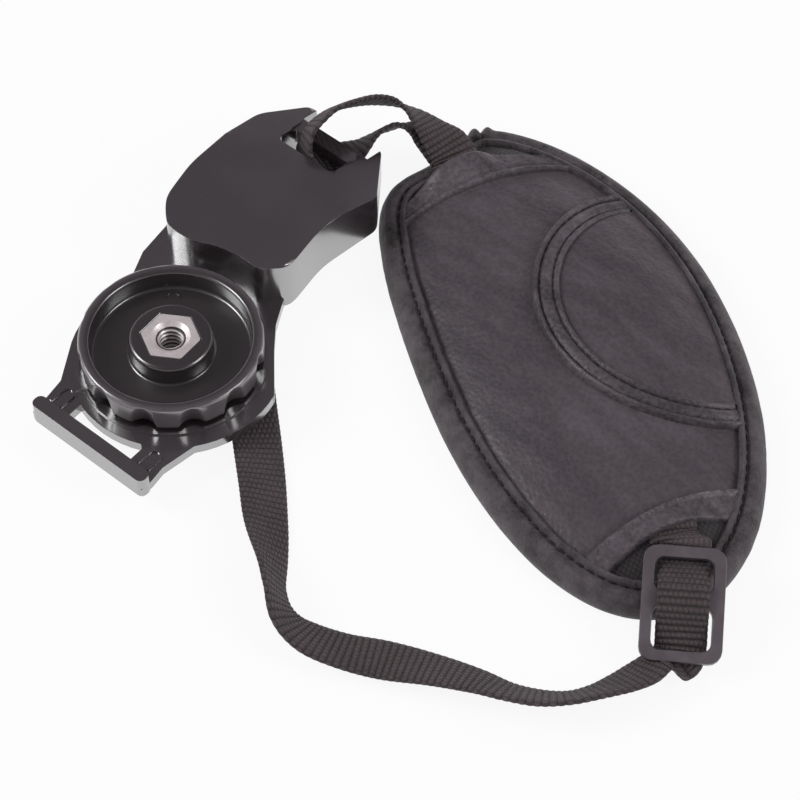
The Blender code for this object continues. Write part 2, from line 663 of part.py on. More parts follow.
def rest_ring(inset):
    """The pad's outline moved inwards by a distance, counter-clockwise."""
    ring = []
    for step in range(REST_STEPS):
        angle = 2 * math.pi * (step + 0.5) / REST_STEPS
        behind = Vector(rest_edge(angle - 0.02))
        ahead = Vector(rest_edge(angle + 0.02))
        tangent = (ahead - behind).normalized()
        inward = Vector((-tangent.y, tangent.x))
        ring.append(tuple(Vector(rest_edge(angle)) + inward * inset))
    return ring


def scaled_ring(ring, share):
    return [(x * share, (y - rest_bend(x)) * share + rest_bend(x * share)) for x, y in ring]


def dome(x, y):
    """Height that the stuffing lifts the pad's top at a place."""
    along = abs(x / REST_HALF_LENGTH) ** REST_SQUARENESS
    across = abs((y - rest_bend(x)) / REST_HALF_WIDTH) ** REST_SQUARENESS
    share = min(1.0, (along + across) ** (1 / REST_SQUARENESS))
    return REST_CROWN * (1.0 - share * share)


def pad_layer(name, inset, foot, top, foot_domed, shares, parts, parent, material):
    """One layer of the pad: an oval sheet or cushion whose top, and maybe foot, is domed."""
    edge = rest_ring(inset)
    shape = bmesh.new()
    sides = []
    for level, domed in ((foot, foot_domed), (top, True)):
        rings = []
        for share in shares:
            rings.append([shape.verts.new((x, y, level + (dome(x, y) if domed else 0.0)))
                          for x, y in scaled_ring(edge, share)])
        middle = shape.verts.new((0.0, 0.0, level + (dome(0.0, 0.0) if domed else 0.0)))
        for outer, inner in zip(rings, rings[1:]):
            skin(shape, outer, inner)
        for index, point in enumerate(rings[-1]):
            shape.faces.new((point, rings[-1][(index + 1) % REST_STEPS], middle))
        sides.append(rings[0])
    skin(shape, sides[0], sides[1])
    bmesh.ops.recalc_face_normals(shape, faces=shape.faces)
    mesh = bpy.data.meshes.new(name)
    shape.to_mesh(mesh)
    shape.free()
    layer = add_object(name, mesh, parts)
    finish_piece(layer, material, parent)


def skin(shape, outer, inner):
    for index in range(len(outer)):
        following = (index + 1) % len(outer)
        shape.faces.new((outer[index], outer[following], inner[following], inner[index]))


def dome_sheet(name, grid, lift, thickness, parts, parent, material):
    """A leather piece laid on the pad's face: rows of (x, y) points, lift as a function of x and y."""
    shape = bmesh.new()
    levels = []
    for extra in (0.0, thickness):
        rows = []
        for row in grid:
            rows.append([shape.verts.new((x, y, FACE_TOP + dome(x, y) + lift(x, y) + extra))
                         for x, y in row])
        levels.append(rows)
    for rows in levels:
        for first, second in zip(rows, rows[1:]):
            for index in range(len(first) - 1):
                shape.faces.new((first[index], first[index + 1], second[index + 1], second[index]))
    low, high = levels
    rims = [(low[0], high[0]), (low[-1], high[-1]),
            ([row[0] for row in low], [row[0] for row in high]),
            ([row[-1] for row in low], [row[-1] for row in high])]
    for under, over in rims:
        for index in range(len(under) - 1):
            shape.faces.new((under[index], under[index + 1], over[index + 1], over[index]))
    bmesh.ops.recalc_face_normals(shape, faces=shape.faces)
    mesh = bpy.data.meshes.new(name)
    shape.to_mesh(mesh)
    shape.free()
    sheet = add_object(name, mesh, parts)
    finish_piece(sheet, material, parent)


def inner_half_width(x):
    """Half width of the face that the binding leaves free at a place along the pad."""
    length = REST_HALF_LENGTH - BINDING_WIDTH - 2 * FIT_GAP
    width = REST_HALF_WIDTH - BINDING_WIDTH - 3 * FIT_GAP
    share = min(1.0, abs(x) / length) ** REST_SQUARENESS
    return width * (1.0 - share) ** (1 / REST_SQUARENESS)


def arc_meets_edge(radius, side):
    """Angle at which a circle about the panel's centre leaves the face, on one side."""
    for step in range(181):
        angle = math.radians(270.0 + side * step * 0.5)
        x = PANEL_CENTRE[0] + radius * math.cos(angle)
        y = PANEL_CENTRE[1] + radius * math.sin(angle)
        if y - rest_bend(x) > inner_half_width(x):
            return angle - side * math.radians(0.5)
    return angle


def panel_grid():
    """Half moon between an arc and the pad's edge: rows run from the arc out to the edge."""
    start = arc_meets_edge(PANEL_RADIUS, -1)
    end = arc_meets_edge(PANEL_RADIUS, 1)
    grid = []
    columns = 24
    for column in range(columns + 1):
        angle = start + (end - start) * column / columns
        x = PANEL_CENTRE[0] + PANEL_RADIUS * math.cos(angle)
        low = PANEL_CENTRE[1] + PANEL_RADIUS * math.sin(angle)
        high = inner_half_width(x) + rest_bend(x)
        grid.append([(x, low + (high - low) * row / 5) for row in range(6)])
    return grid


def trim_grid():
    inner = PANEL_RADIUS + FIT_GAP
    outer = PANEL_RADIUS + PANEL_TRIM_WIDTH
    start = arc_meets_edge(outer, -1)
    end = arc_meets_edge(outer, 1)
    grid = []
    columns = 28
    for column in range(columns + 1):
        angle = start + (end - start) * column / columns
        cosine = math.cos(angle)
        sine = math.sin(angle)
        grid.append([(PANEL_CENTRE[0] + (inner + (outer - inner) * row / 3) * cosine,
                      PANEL_CENTRE[1] + (inner + (outer - inner) * row / 3) * sine)
                     for row in range(4)])
    return grid


def band_edge(start, curve, slant, y):
    """A point on a band's edge, at a distance y from the middle of the pad's width."""
    x = start + slant * y + curve * y * y
    return x, y + rest_bend(x)


def band_reach(span, curves, slant, side):
    """How far a band runs to one side before either of its edges meets the binding."""
    reach = REST_HALF_WIDTH
    while any(reach > inner_half_width(band_edge(start, curve, slant, side * reach)[0])
              for start, curve in zip(span, curves)):
        reach -= 0.1 * MM
    return side * (reach - 2 * FIT_GAP)


def band_grid(span, curves, slant):
    """A band across the pad whose edges bow; it ends at the binding on both sides."""
    low = band_reach(span, curves, slant, -1)
    high = band_reach(span, curves, slant, 1)
    grid = []
    columns = 14
    for column in range(columns + 1):
        y = low + (high - low) * column / columns
        first = Vector(band_edge(span[0], curves[0], slant, y))
        last = Vector(band_edge(span[1], curves[1], slant, y))
        grid.append([tuple(first.lerp(last, row / 3)) for row in range(4)])
    return grid


def hump(layers, webbing_y):
    """Lift of a band that crosses a number of webbing layers at a place across the pad."""
    height = layers * (WEBBING_THICKNESS + 3 * FIT_GAP)

    def lift(_x, y):
        reach = (y - webbing_y) / WEBBING_WIDTH
        return FIT_GAP + height * math.exp(-reach ** 4)
    return lift


def make_binding(parts, parent, material):
    """A strip folded round the pad's edge: a C in section, open towards the middle."""
    wall = BINDING_SHEET
    section = [(BINDING_WIDTH, BINDING_TOP, 1), (BINDING_WIDTH / 2, BINDING_TOP, 1),
               (wall, BINDING_TOP - 0.3 * wall, 1), (0.2 * wall, BINDING_TOP - wall, 1),
               (0.0, BINDING_TOP / 2, 0), (0.2 * wall, wall, 0), (wall, 0.1 * wall, 0),
               (BINDING_WIDTH / 2, 0.0, 0), (BINDING_WIDTH, 0.0, 0),
               (BINDING_WIDTH, wall, 0), (wall, wall, 0),
               (wall, FACE_TOP + FIT_GAP, 1), (BINDING_WIDTH, FACE_TOP + FIT_GAP, 1)]
    rings = [[(x, y, height + follow * dome(x, y)) for x, y in rest_ring(inset)]
             for inset, height, follow in section]
    sections = [[ring[step] for ring in rings] for step in range(REST_STEPS)]
    binding = loft("edge_binding", sections, parts, closed=True)
    finish_piece(binding, material, parent, 50.0)


def make_hand_rest(parts, parent, leather, suede, foam, cloth):
    edge = BINDING_SHEET + FIT_GAP
    lining = flat_solid("pad_lining", [rest_ring(edge)], LINING_FOOT,
                        LINING_FOOT + LINING_THICKNESS, parts)
    finish_piece(lining, cloth, parent)
    pad_layer("pad_foam", edge, FOAM_FOOT, FOAM_FOOT + FOAM_EDGE, False, (1.0, 0.72, 0.36),
              parts, parent, foam)
    pad_layer("leather_face", edge, FACE_FOOT, FACE_TOP, True, (1.0, 0.88, 0.72, 0.52, 0.28),
              parts, parent, leather)
    flat_lift = hump(0, 0.0)
    dome_sheet("half_moon_panel", panel_grid(), flat_lift, LEATHER, parts, parent, leather)
    dome_sheet("trim_band", trim_grid(), flat_lift, LEATHER * 1.5, parts, parent, leather)
    top_band = band_grid(TOP_BAND_X, TOP_BAND_CURVES, TOP_BAND_SLANT)
    dome_sheet("top_band", top_band, hump(2.4, LOOP_Y), LEATHER, parts, parent, leather)
    bottom_band = band_grid(BOTTOM_BAND_X, BOTTOM_BAND_CURVES, BOTTOM_BAND_SLANT)
    dome_sheet("bottom_band", bottom_band, hump(1, TAIL_Y), LEATHER, parts, parent, leather)
    make_binding(parts, parent, suede)


# Webbing and slider

def on_rest(x, y, layer):
    """A point on the pad's face, in the layout's frame, at the middle of a webbing layer."""
    turn = Matrix.Rotation(math.radians(REST_TURN), 2)
    place = turn @ Vector((x, y)) + Vector(REST_CENTRE)
    layer_pitch = WEBBING_THICKNESS + FIT_GAP
    height = FACE_TOP + dome(x, y) + FIT_GAP + WEBBING_THICKNESS / 2 + layer * layer_pitch
    return (place.x, place.y, height)


def on_slider(along, above, aside=0.0):
    """A point measured from the slider's centre, along it, out of its face and across it."""
    across = Vector(SLIDER_ACROSS).normalized()
    length = Vector(SLIDER_ALONG).normalized()
    normal = across.cross(length)
    return tuple(Vector(SLIDER_CENTRE) + length * along + normal * above + across * aside)


def in_mm(x, y, z):
    return (x * MM, y * MM, z * MM)


def loop_route():
    """From the pad, over in an arch, down the block's slot, round its bar and back to the pad."""
    across_rest = (0.530, 0.848, 0.0)
    return [(on_rest(-48.0 * MM, LOOP_Y, 1.4), across_rest),
            (on_rest(-54.0 * MM, LOOP_Y, 1.9), across_rest),
            (in_mm(6.6, 81.8, 10.9), (0.46, 0.86, -0.20)),
            (in_mm(1.6, 82.3, 11.9), (0.30, 0.78, -0.52)),
            (in_mm(-3.0, 82.0, 13.4), (0.06, 0.64, -0.74)),
            (in_mm(-6.8, 80.4, 14.8), (-0.16, 0.52, -0.82)),
            (in_mm(-9.9, 77.0, 16.2), (-0.34, 0.44, -0.82)),
            (in_mm(-12.2, 72.2, 17.4), (-0.46, 0.42, -0.78)),
            (in_mm(-13.4, 67.4, 18.4), (-0.62, 0.40, -0.66)),
            (in_mm(-13.6, 63.4, 18.4), (-0.76, 0.38, -0.52)),
            (in_mm(-13.2, 59.9, 17.2), (-0.86, 0.36, -0.30)),
            (in_mm(-12.2, 57.6, 14.0), (-0.96, 0.25, -0.10)),
            (in_mm(-11.6, 57.9, 10.8), (-0.98, 0.18, 0.0)),
            (in_mm(-10.6, 60.2, 8.4), (-1.0, 0.06, 0.0)),
            (in_mm(-9.3, 63.2, 7.9), (-1.0, 0.03, 0.0)),
            (in_mm(-8.2, 66.6, 8.1), (-0.97, 0.16, -0.10)),
            (in_mm(-7.2, 69.8, 9.0), (-0.88, 0.34, -0.32)),
            (in_mm(-6.6, 72.8, 9.8), (-0.72, 0.46, -0.48)),
            (in_mm(-5.5, 76.0, 10.4), (-0.46, 0.58, -0.60)),
            (in_mm(-3.3, 79.2, 10.5), (-0.14, 0.72, -0.62)),
            (in_mm(0.8, 81.2, 9.9), (0.24, 0.82, -0.44)),
            (in_mm(6.2, 81.4, 9.2), (0.46, 0.88, -0.14)),
            (on_rest(-54.0 * MM, LOOP_Y, 0.9), across_rest),
            (on_rest(-48.0 * MM, LOOP_Y, 0.4), across_rest)]


def tail_route():
    """From under the bottom band, through the slider, along the table and under the plate."""
    across_slider = tuple(-value for value in SLIDER_ACROSS)
    clear = SLIDER_THICKNESS / 2 + FIT_GAP + WEBBING_THICKNESS / 2
    bar_end = SLIDER_SIZE[1] / 2 - SLIDER_BAR
    middle = SLIDER_CENTRE_BAR_AT
    return [(on_rest(47.0 * MM, TAIL_Y, 0.15), (-0.530, -0.848, 0.0)),
            (on_rest(49.8 * MM, TAIL_Y, 0.15), (-0.56, -0.83, 0.0)),
            (on_rest(52.6 * MM, TAIL_Y - 0.3 * MM, 0.3), (-0.62, -0.78, 0.0)),
            (on_slider(bar_end + 4.2 * MM, -clear - 0.6 * MM), across_slider),
            (on_slider(bar_end + 1.0 * MM, -clear), across_slider),
            (on_slider(bar_end - 0.7 * MM, -clear + 0.1 * MM), across_slider),
            (on_slider(middle + 4.4 * MM, 0.5 * MM), across_slider),
            (on_slider(middle + 2.0 * MM, clear), across_slider),
            (on_slider(middle, clear + 0.1 * MM), across_slider),
            (on_slider(middle - 2.0 * MM, clear), across_slider),
            (on_slider(middle - 5.2 * MM, -0.3 * MM), across_slider),
            (on_slider(0.8 * MM - bar_end, -clear), across_slider),
            (on_slider(-1.0 * MM - bar_end, -clear - 0.2 * MM, -0.7 * MM), across_slider),
            (in_mm(123.5, 8.0, 1.6), (-0.88, -0.20, -0.14)),
            (in_mm(122.0, 4.2, 2.4), (-0.80, 0.14, -0.42)),
            (in_mm(120.2, 0.0, 3.3), (-0.66, 0.40, -0.60)),
            (in_mm(117.9, -5.0, 4.0), (-0.53, 0.45, -0.72)),
            (in_mm(114.6, -9.8, 4.2), (-0.40, 0.54, -0.74)),
            (in_mm(110.0, -13.6, 4.0), (-0.33, 0.64, -0.69)),
            (in_mm(104.3, -16.4, 3.8), (-0.33, 0.68, -0.66)),
            (in_mm(97.5, -18.4, 3.2), (-0.36, 0.76, -0.54)),
            (in_mm(89.6, -21.4, 2.6), (-0.40, 0.82, -0.40)),
            (in_mm(80.4, -25.6, 1.9), (-0.43, 0.87, -0.22)),
            (in_mm(73.0, -29.4, 2.3), (-0.40, 0.87, -0.31)),
            (in_mm(65.8, -31.8, 2.9), (-0.35, 0.84, -0.41)),
            (in_mm(59.4, -31.6, 3.7), (-0.30, 0.74, -0.60)),
            (in_mm(53.4, -28.0, 4.2), (-0.25, 0.65, -0.71)),
            (in_mm(47.4, -22.6, 4.0), (-0.03, 0.75, -0.66)),
            (in_mm(40.4, -16.2, 3.3), (0.25, 0.84, -0.48)),
            (in_mm(33.8, -9.8, 2.7), (0.40, 0.84, -0.36)),
            (in_mm(25.8, -2.4, 1.9), (0.58, 0.79, -0.20)),
            (in_mm(17.2, 5.4, 1.1), (0.66, 0.75, -0.05)),
            (in_mm(9.0, 13.2, 0.8), (0.68, 0.73, 0.0))]


def make_slider(parts, parent, material):
    """A flat frame with two windows either side of a middle bar."""
    width, length = SLIDER_SIZE
    corner = SLIDER_CORNER
    inner = corner - 0.9 * MM

    def frame(half_x, low_y, high_y, radius):
        return rounded_polygon([(-half_x, low_y, radius), (half_x, low_y, radius),
                                (half_x, high_y, radius), (-half_x, high_y, radius)], 4)
    window = width / 2 - SLIDER_BAR
    middle_low = SLIDER_CENTRE_BAR_AT - SLIDER_CENTRE_BAR / 2
    middle_high = SLIDER_CENTRE_BAR_AT + SLIDER_CENTRE_BAR / 2
    outlines = [frame(width / 2, -length / 2, length / 2, corner),
                frame(window, SLIDER_BAR - length / 2, middle_low, inner),
                frame(window, middle_high, length / 2 - SLIDER_BAR, inner)]
    slider = flat_solid("slider", outlines, -SLIDER_THICKNESS / 2, SLIDER_THICKNESS / 2, parts)
    add_bevel(slider, SLIDER_EDGE_ROUND, 2)
    apply_modifiers(slider)
    finish_piece(slider, material, parent)


def slider_frame(parts, layout):
    across = Vector(SLIDER_ACROSS).normalized()
    along = Vector(SLIDER_ALONG).normalized()
    along = (along - across * along.dot(across)).normalized()
    turn = Matrix((across, along, across.cross(along))).transposed()
    return make_empty("slider_place", parts, layout, SLIDER_CENTRE, turn.to_euler())


def centre_on_origin(parts, layout):
    """Put the middle of the base at the origin, measured without the loose webbing."""
    bpy.context.view_layer.update()
    firm = [piece for piece in parts.objects
            if piece.type == "MESH" and piece.name not in ("strap_loop", "strap_tail")]
    corners = [piece.matrix_world @ point.co for piece in firm for point in piece.data.vertices]
    for axis in range(2):
        values = [corner[axis] for corner in corners]
        layout.location[axis] = -(min(values) + max(values)) / 2
    layout.location[2] = -min(corner.z for corner in corners)


def main():
    clear_scene()
    parts = make_collection("camera hand grip strap")
    cutters = make_collection("cutters")
    black_plastic = make_material("black_plastic", (0.018, 0.017, 0.018), 0.28)
    knob_plastic = make_material("knob_plastic", (0.010, 0.010, 0.011), 0.15)
    slider_plastic = make_material("slider_plastic", (0.050, 0.046, 0.050), 0.45)
    nickel = make_material("nickel", (0.78, 0.74, 0.69), 0.22, 1.0)
    spring_steel = make_material("spring_steel", (0.45, 0.45, 0.46), 0.35, 1.0)
    nylon = make_material("nylon", (0.55, 0.55, 0.53), 0.55)
    rubber = make_material("rubber", (0.020, 0.020, 0.020), 0.80)
    leather = make_material("leather", (0.055, 0.048, 0.055), 0.50)
    suede = make_material("suede", (0.036, 0.032, 0.036), 0.85)
    foam = make_material("foam", (0.060, 0.060, 0.062), 0.95)
    cloth = make_material("lining_cloth", (0.030, 0.028, 0.030), 0.92)
    webbing = make_material("webbing", (0.034, 0.030, 0.031), 0.88)

    layout = make_empty("layout", parts)
    plate_frame = make_empty("plate_place", parts, layout, (0, 0, STUD_REACH))
    rest_frame = make_empty("rest_place", parts, layout, (*REST_CENTRE, 0.0),
                            (0, 0, math.radians(REST_TURN)))

    make_base_plate(parts, cutters, plate_frame, black_plastic)
    make_rubber_pad(parts, plate_frame, rubber)
    make_knob(parts, cutters, plate_frame, knob_plastic)
    make_tripod_screw(parts, cutters, plate_frame, nickel)
    make_retaining_clip(parts, plate_frame, spring_steel)
    make_washer(parts, plate_frame, nylon)
    make_hand_rest(parts, rest_frame, leather, suede, foam, cloth)
    make_slider(parts, slider_frame(parts, layout), slider_plastic)
    for name, route in (("strap_loop", loop_route()), ("strap_tail", tail_route())):
        finish_piece(ribbon(name, route, parts), webbing, layout, 50.0)
    centre_on_origin(parts, layout)


main()
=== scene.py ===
"""Looks of the camera hand grip strap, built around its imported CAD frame.

Places are measured as in the part's source: millimetres from the axis of the tripod screw, +X along
the foot bar, +Y from the foot towards the strap block. The hand rest has its own frame, whose +X
runs from the loop end to the slider end.
"""

import json
import logging
import math
from dataclasses import dataclass
from enum import Enum
from typing import Callable, Optional, Sequence, Union

import bmesh
import bpy
from mathutils import Matrix, Vector, noise
from mathutils.kdtree import KDTree

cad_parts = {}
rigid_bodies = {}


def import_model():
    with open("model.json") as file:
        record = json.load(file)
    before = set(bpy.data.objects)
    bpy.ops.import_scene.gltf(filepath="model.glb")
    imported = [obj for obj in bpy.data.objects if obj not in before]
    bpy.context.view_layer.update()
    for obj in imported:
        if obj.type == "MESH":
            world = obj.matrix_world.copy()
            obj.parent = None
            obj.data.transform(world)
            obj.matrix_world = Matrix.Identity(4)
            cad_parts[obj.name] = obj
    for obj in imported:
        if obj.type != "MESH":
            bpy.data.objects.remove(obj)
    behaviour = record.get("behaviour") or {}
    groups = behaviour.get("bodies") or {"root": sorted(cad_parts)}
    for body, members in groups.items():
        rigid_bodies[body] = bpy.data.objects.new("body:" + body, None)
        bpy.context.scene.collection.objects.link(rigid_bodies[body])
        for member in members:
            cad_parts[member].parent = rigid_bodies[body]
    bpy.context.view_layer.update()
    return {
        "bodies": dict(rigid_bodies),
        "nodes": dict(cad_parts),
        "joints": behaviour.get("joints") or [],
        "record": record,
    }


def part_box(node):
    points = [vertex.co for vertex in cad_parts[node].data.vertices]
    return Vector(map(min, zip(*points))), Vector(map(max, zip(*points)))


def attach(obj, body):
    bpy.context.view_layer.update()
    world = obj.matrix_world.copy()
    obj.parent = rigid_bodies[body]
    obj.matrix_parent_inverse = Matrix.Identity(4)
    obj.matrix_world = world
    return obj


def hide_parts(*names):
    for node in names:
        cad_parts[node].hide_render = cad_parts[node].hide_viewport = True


LOG = logging.getLogger("grip_strap")
MM = 0.001

# Values shared with the part's source, in millimetres
WEBBING_WIDTH = 10.5
WEBBING_THICKNESS = 1.3
GAP = 0.3
LOOP_Y = -9.7
TAIL_Y = 1.7
LIP_COVER = 1.6              # how far the leather strips reach under the binding's lip
LOOP_TURN = 15               # station of the loop's route where it heads back to the pad
SLIDER_CENTRE = (119.9, 19.3, 8.2)
SLIDER_ACROSS = (0.819, 0.574, 0.0)
SLIDER_ALONG = (-0.5415, 0.7555, 0.369)
SLIDER_LENGTH = 23.4
SLIDER_BAR = 2.3
SLIDER_THICKNESS = 2.0
SLIDER_MIDDLE = 1.0

# The photograph's camera
CAMERA_ELEVATION = 53.7      # degrees
CAMERA_HEADING = 40.0        # degrees from +Y, towards -X
CAMERA_DISTANCE = 600.0
FOCAL_PIXELS = 2820.0
IMAGE_WIDTH = 800.0
SENSOR_WIDTH = 36.0
LOOK_AT = (40.6, 26.5, 0.0)

# Stage
PAINTED_SHADOW_MIDDLE = (-12.5, 54.0, 0.0)   # under the block: middle of a painted shadow, where the floor's glow is dimmed
PAINTED_SHADOW_FADE = (4.0, 15.0)            # the painted shadow fades out and the glow comes back between these distances
FLOOR_REACH = 6.0                    # half the floor's width, in metres
FLOOR_COLOUR = (0.93, 0.93, 0.93, 1.0)
FLOOR_GLOW = 0.90

# Sockets of a Mix node for colours, which share their names with those for numbers
MIX_FACTOR = 0
MIX_FIRST = 6
MIX_SECOND = 7
MIX_RESULT = 2


class Body(Enum):
    """CAD bodies that pieces ride on."""
    GRIP = "grip"
    KNOB = "knob"


class Slot(Enum):
    """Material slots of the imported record."""
    BLACK_PLASTIC = "black_plastic"
    KNOB_PLASTIC = "knob_plastic"
    SLIDER_PLASTIC = "slider_plastic"
    NICKEL = "nickel"
    SPRING_STEEL = "spring_steel"
    NYLON = "nylon"
    RUBBER = "rubber"
    LEATHER = "leather"
    SUEDE = "suede"
    LINING = "lining_cloth"
    WEBBING = "webbing"


@dataclass(frozen=True)
class Layout:
    """Turns millimetres from the screw axis into metres in the frame.

    Args:
        x: frame X of the screw axis, in metres.
        y: frame Y of the screw axis, in metres.
    """
    x: float
    y: float

    @classmethod
    def from_screw(cls) -> "Layout":
        """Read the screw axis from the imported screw's box."""
        low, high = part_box("tripod_screw")
        return cls((low[0] + high[0]) / 2, (low[1] + high[1]) / 2)

    def at(self, point: Sequence[float]) -> Vector:
        """Return the frame's place for a point given in millimetres."""
        return Vector((self.x + point[0] * MM, self.y + point[1] * MM, point[2] * MM))


# Materials


class Value:
    """One value in a material's node tree; arithmetic adds the nodes that it needs.

    Args:
        tree: the material's node tree.
        socket: the output socket that carries the value.
    """

    def __init__(self, tree: bpy.types.NodeTree, socket: bpy.types.NodeSocket) -> None:
        """Keep the tree and the socket."""
        self.tree = tree
        self.socket = socket

    def _math(self, operation: str, *items: Union["Value", float]) -> "Value":
        """Add a Math node.

        Args:
            operation: the node's operation.
            items: what goes into its sockets, in order.

        Returns:
            The node's result.
        """
        node = add_node(self.tree, "ShaderNodeMath", {"operation": operation}, dict(enumerate(items)))
        return Value(self.tree, node.outputs[0])

    def __add__(self, other: Union["Value", float]) -> "Value":
        """Return the sum."""
        return self._math("ADD", self, other)

    def __radd__(self, other: float) -> "Value":
        """Return the sum, with the number first."""
        return self._math("ADD", other, self)

    def __sub__(self, other: Union["Value", float]) -> "Value":
        """Return the difference."""
        return self._math("SUBTRACT", self, other)

    def __rsub__(self, other: float) -> "Value":
        """Return the difference, with the number first."""
        return self._math("SUBTRACT", other, self)

    def __mul__(self, other: Union["Value", float]) -> "Value":
        """Return the product."""
        return self._math("MULTIPLY", self, other)

    def __rmul__(self, other: float) -> "Value":
        """Return the product, with the number first."""
        return self._math("MULTIPLY", other, self)

    def __pow__(self, other: Union["Value", float]) -> "Value":
        """Return the value raised to a power."""
        return self._math("POWER", self, other)

    def sine(self) -> "Value":
        """Return the sine of the value."""
        return self._math("SINE", self)

    def whole(self) -> "Value":
        """Return the whole number below the value."""
        return self._math("FLOOR", self)

    def size(self) -> "Value":
        """Return the value without its sign."""
        return self._math("ABSOLUTE", self)

    def larger(self, other: Union["Value", float]) -> "Value":
        """Return the larger of two values."""
        return self._math("MAXIMUM", self, other)

    def smaller(self, other: Union["Value", float]) -> "Value":
        """Return the smaller of two values."""
        return self._math("MINIMUM", self, other)

    def spread(self, low: float, high: float, start: float = 0.0, end: float = 1.0) -> "Value":
        """Map low..high smoothly to start..end, held at both ends.

        Args:
            low: the value that gives start.
            high: the value that gives end.
            start: the result at and below low.
            end: the result at and above high.

        Returns:
            The mapped value.
        """
        node = add_node(self.tree, "ShaderNodeMapRange", {"interpolation_type": "SMOOTHSTEP"},
                        {"Value": self, "From Min": low, "From Max": high, "To Min": start, "To Max": end})
        return Value(self.tree, node.outputs["Result"])


def add_node(tree: bpy.types.NodeTree, kind: str, settings: Optional[dict] = None,
             inputs: Optional[dict] = None) -> bpy.types.Node:
    """Add a node to a tree.

    Args:
        tree: the node tree.
        kind: the node's type.
        settings: the node's own settings by name, set before its sockets.
        inputs: a Value, a socket or a number for each input, by its name or place.

    Returns:
        The node.
    """
    node = tree.nodes.new(kind)
    for name, setting in (settings or {}).items():
        setattr(node, name, setting)
    for key, item in (inputs or {}).items():
        source = item.socket if isinstance(item, Value) else item
        if isinstance(source, bpy.types.NodeSocket):
            tree.links.new(source, node.inputs[key])
        else:
            node.inputs[key].default_value = source
    return node


def mix_colours(tree: bpy.types.NodeTree, factor: Value, first: Sequence[float],
                second: Sequence[float]) -> bpy.types.NodeSocket:
    """Mix two colours.

    Args:
        tree: the node tree.
        factor: 0 gives the first colour, 1 the second.
        first: red, green and blue.
        second: red, green and blue.

    Returns:
        The socket of the mixed colour.
    """
    node = add_node(tree, "ShaderNodeMix", {"data_type": "RGBA"},
                    {MIX_FIRST: (*first, 1.0), MIX_SECOND: (*second, 1.0), MIX_FACTOR: factor})
    return node.outputs[MIX_RESULT]


def split_vector(tree: bpy.types.NodeTree, vector: bpy.types.NodeSocket) -> tuple:
    """Return the three values of a vector."""
    node = add_node(tree, "ShaderNodeSeparateXYZ", inputs={0: vector})
    return tuple(Value(tree, socket) for socket in node.outputs)


class Recipe:
    """A procedural material in the making.

    Args:
        name: the material's name.
        slot: the record's slot that it dresses.
    """

    def __init__(self, name: str, slot: Slot) -> None:
        """Start a material with its shader and coordinates."""
        self.slot = slot
        self.material = bpy.data.materials.new(name)
        self.material.use_nodes = True
        self.tree = self.material.node_tree
        self.shader = self.tree.nodes["Principled BSDF"]
        self.places = add_node(self.tree, "ShaderNodeTexCoord")

    def constant(self, **numbers: float) -> "Recipe":
        """Set the shader's own sockets; an underscore in a name stands for a space.

        Args:
            numbers: a number for each socket.

        Returns:
            This recipe.
        """
        for name, number in numbers.items():
            self.shader.inputs[name.replace("_", " ")].default_value = number
        return self

    def place(self, stretch: Sequence[float] = (1.0, 1.0, 1.0), turn: float = 0.0,
              flat: bool = False) -> bpy.types.NodeSocket:
        """Turn and stretch the coordinates that a pattern reads.

        Args:
            stretch: how much each direction is stretched, after the turn.
            turn: turn about Z, in degrees.
            flat: whether to read the UV map instead of the object's coordinates.

        Returns:
            The socket of the coordinates.
        """
        node = add_node(self.tree, "ShaderNodeMapping", inputs={
            "Rotation": (0.0, 0.0, math.radians(turn)), "Scale": stretch,
            "Vector": self.places.outputs["UV" if flat else "Object"]})
        return node.outputs["Vector"]

    def grain(self, scale: float, detail: float = 3.0, rough: float = 0.55,
              vector: Optional[bpy.types.NodeSocket] = None) -> Value:
        """Make smooth noise.

        Args:
            scale: repeats per metre.
            detail: layers of finer noise.
            rough: how strong the finer layers are.
            vector: coordinates, or None for the object's own.

        Returns:
            The noise, from 0 to 1.
        """
        node = add_node(self.tree, "ShaderNodeTexNoise", inputs={
            "Scale": scale, "Detail": detail, "Roughness": rough, "Vector": vector or self.place()})
        return Value(self.tree, node.outputs["Fac"])

    def cells(self, scale: float, feature: str) -> Value:
        """Return the distance field of scattered cells, scale in repeats per metre."""
        node = add_node(self.tree, "ShaderNodeTexVoronoi", {"feature": feature},
                        {"Scale": scale, "Vector": self.place()})
        return Value(self.tree, node.outputs["Distance"])

    def parts_of(self, vector: bpy.types.NodeSocket) -> tuple:
        """Return the three values of a vector."""
        return split_vector(self.tree, vector)

    def colour(self, factor: Value, first: Sequence[float], second: Sequence[float]) -> "Recipe":
        """Mix two colours by a factor onto the base colour.

        Args:
            factor: 0 gives the first colour, 1 the second.
            first: red, green and blue.
            second: red, green and blue.

        Returns:
            This recipe.
        """
        mixed = mix_colours(self.tree, factor, first, second)
        self.tree.links.new(mixed, self.shader.inputs["Base Color"])
        return self

    def roughness(self, value: Value) -> "Recipe":
        """Drive the roughness by a value, and return this recipe."""
        self.tree.links.new(value.socket, self.shader.inputs["Roughness"])
        return self

    def bump(self, height: Value, depth: float, strength: float = 1.0) -> "Recipe":
        """Add relief.

        Args:
            height: the relief's height, from 0 to 1.
            depth: millimetres for a height of 1.
            strength: how strongly the relief shades, from 0 to 1.

        Returns:
            This recipe.
        """
        node = add_node(self.tree, "ShaderNodeBump",
                        inputs={"Strength": strength, "Distance": depth * MM, "Height": height})
        self.tree.links.new(node.outputs[0], self.shader.inputs["Normal"])
        return self


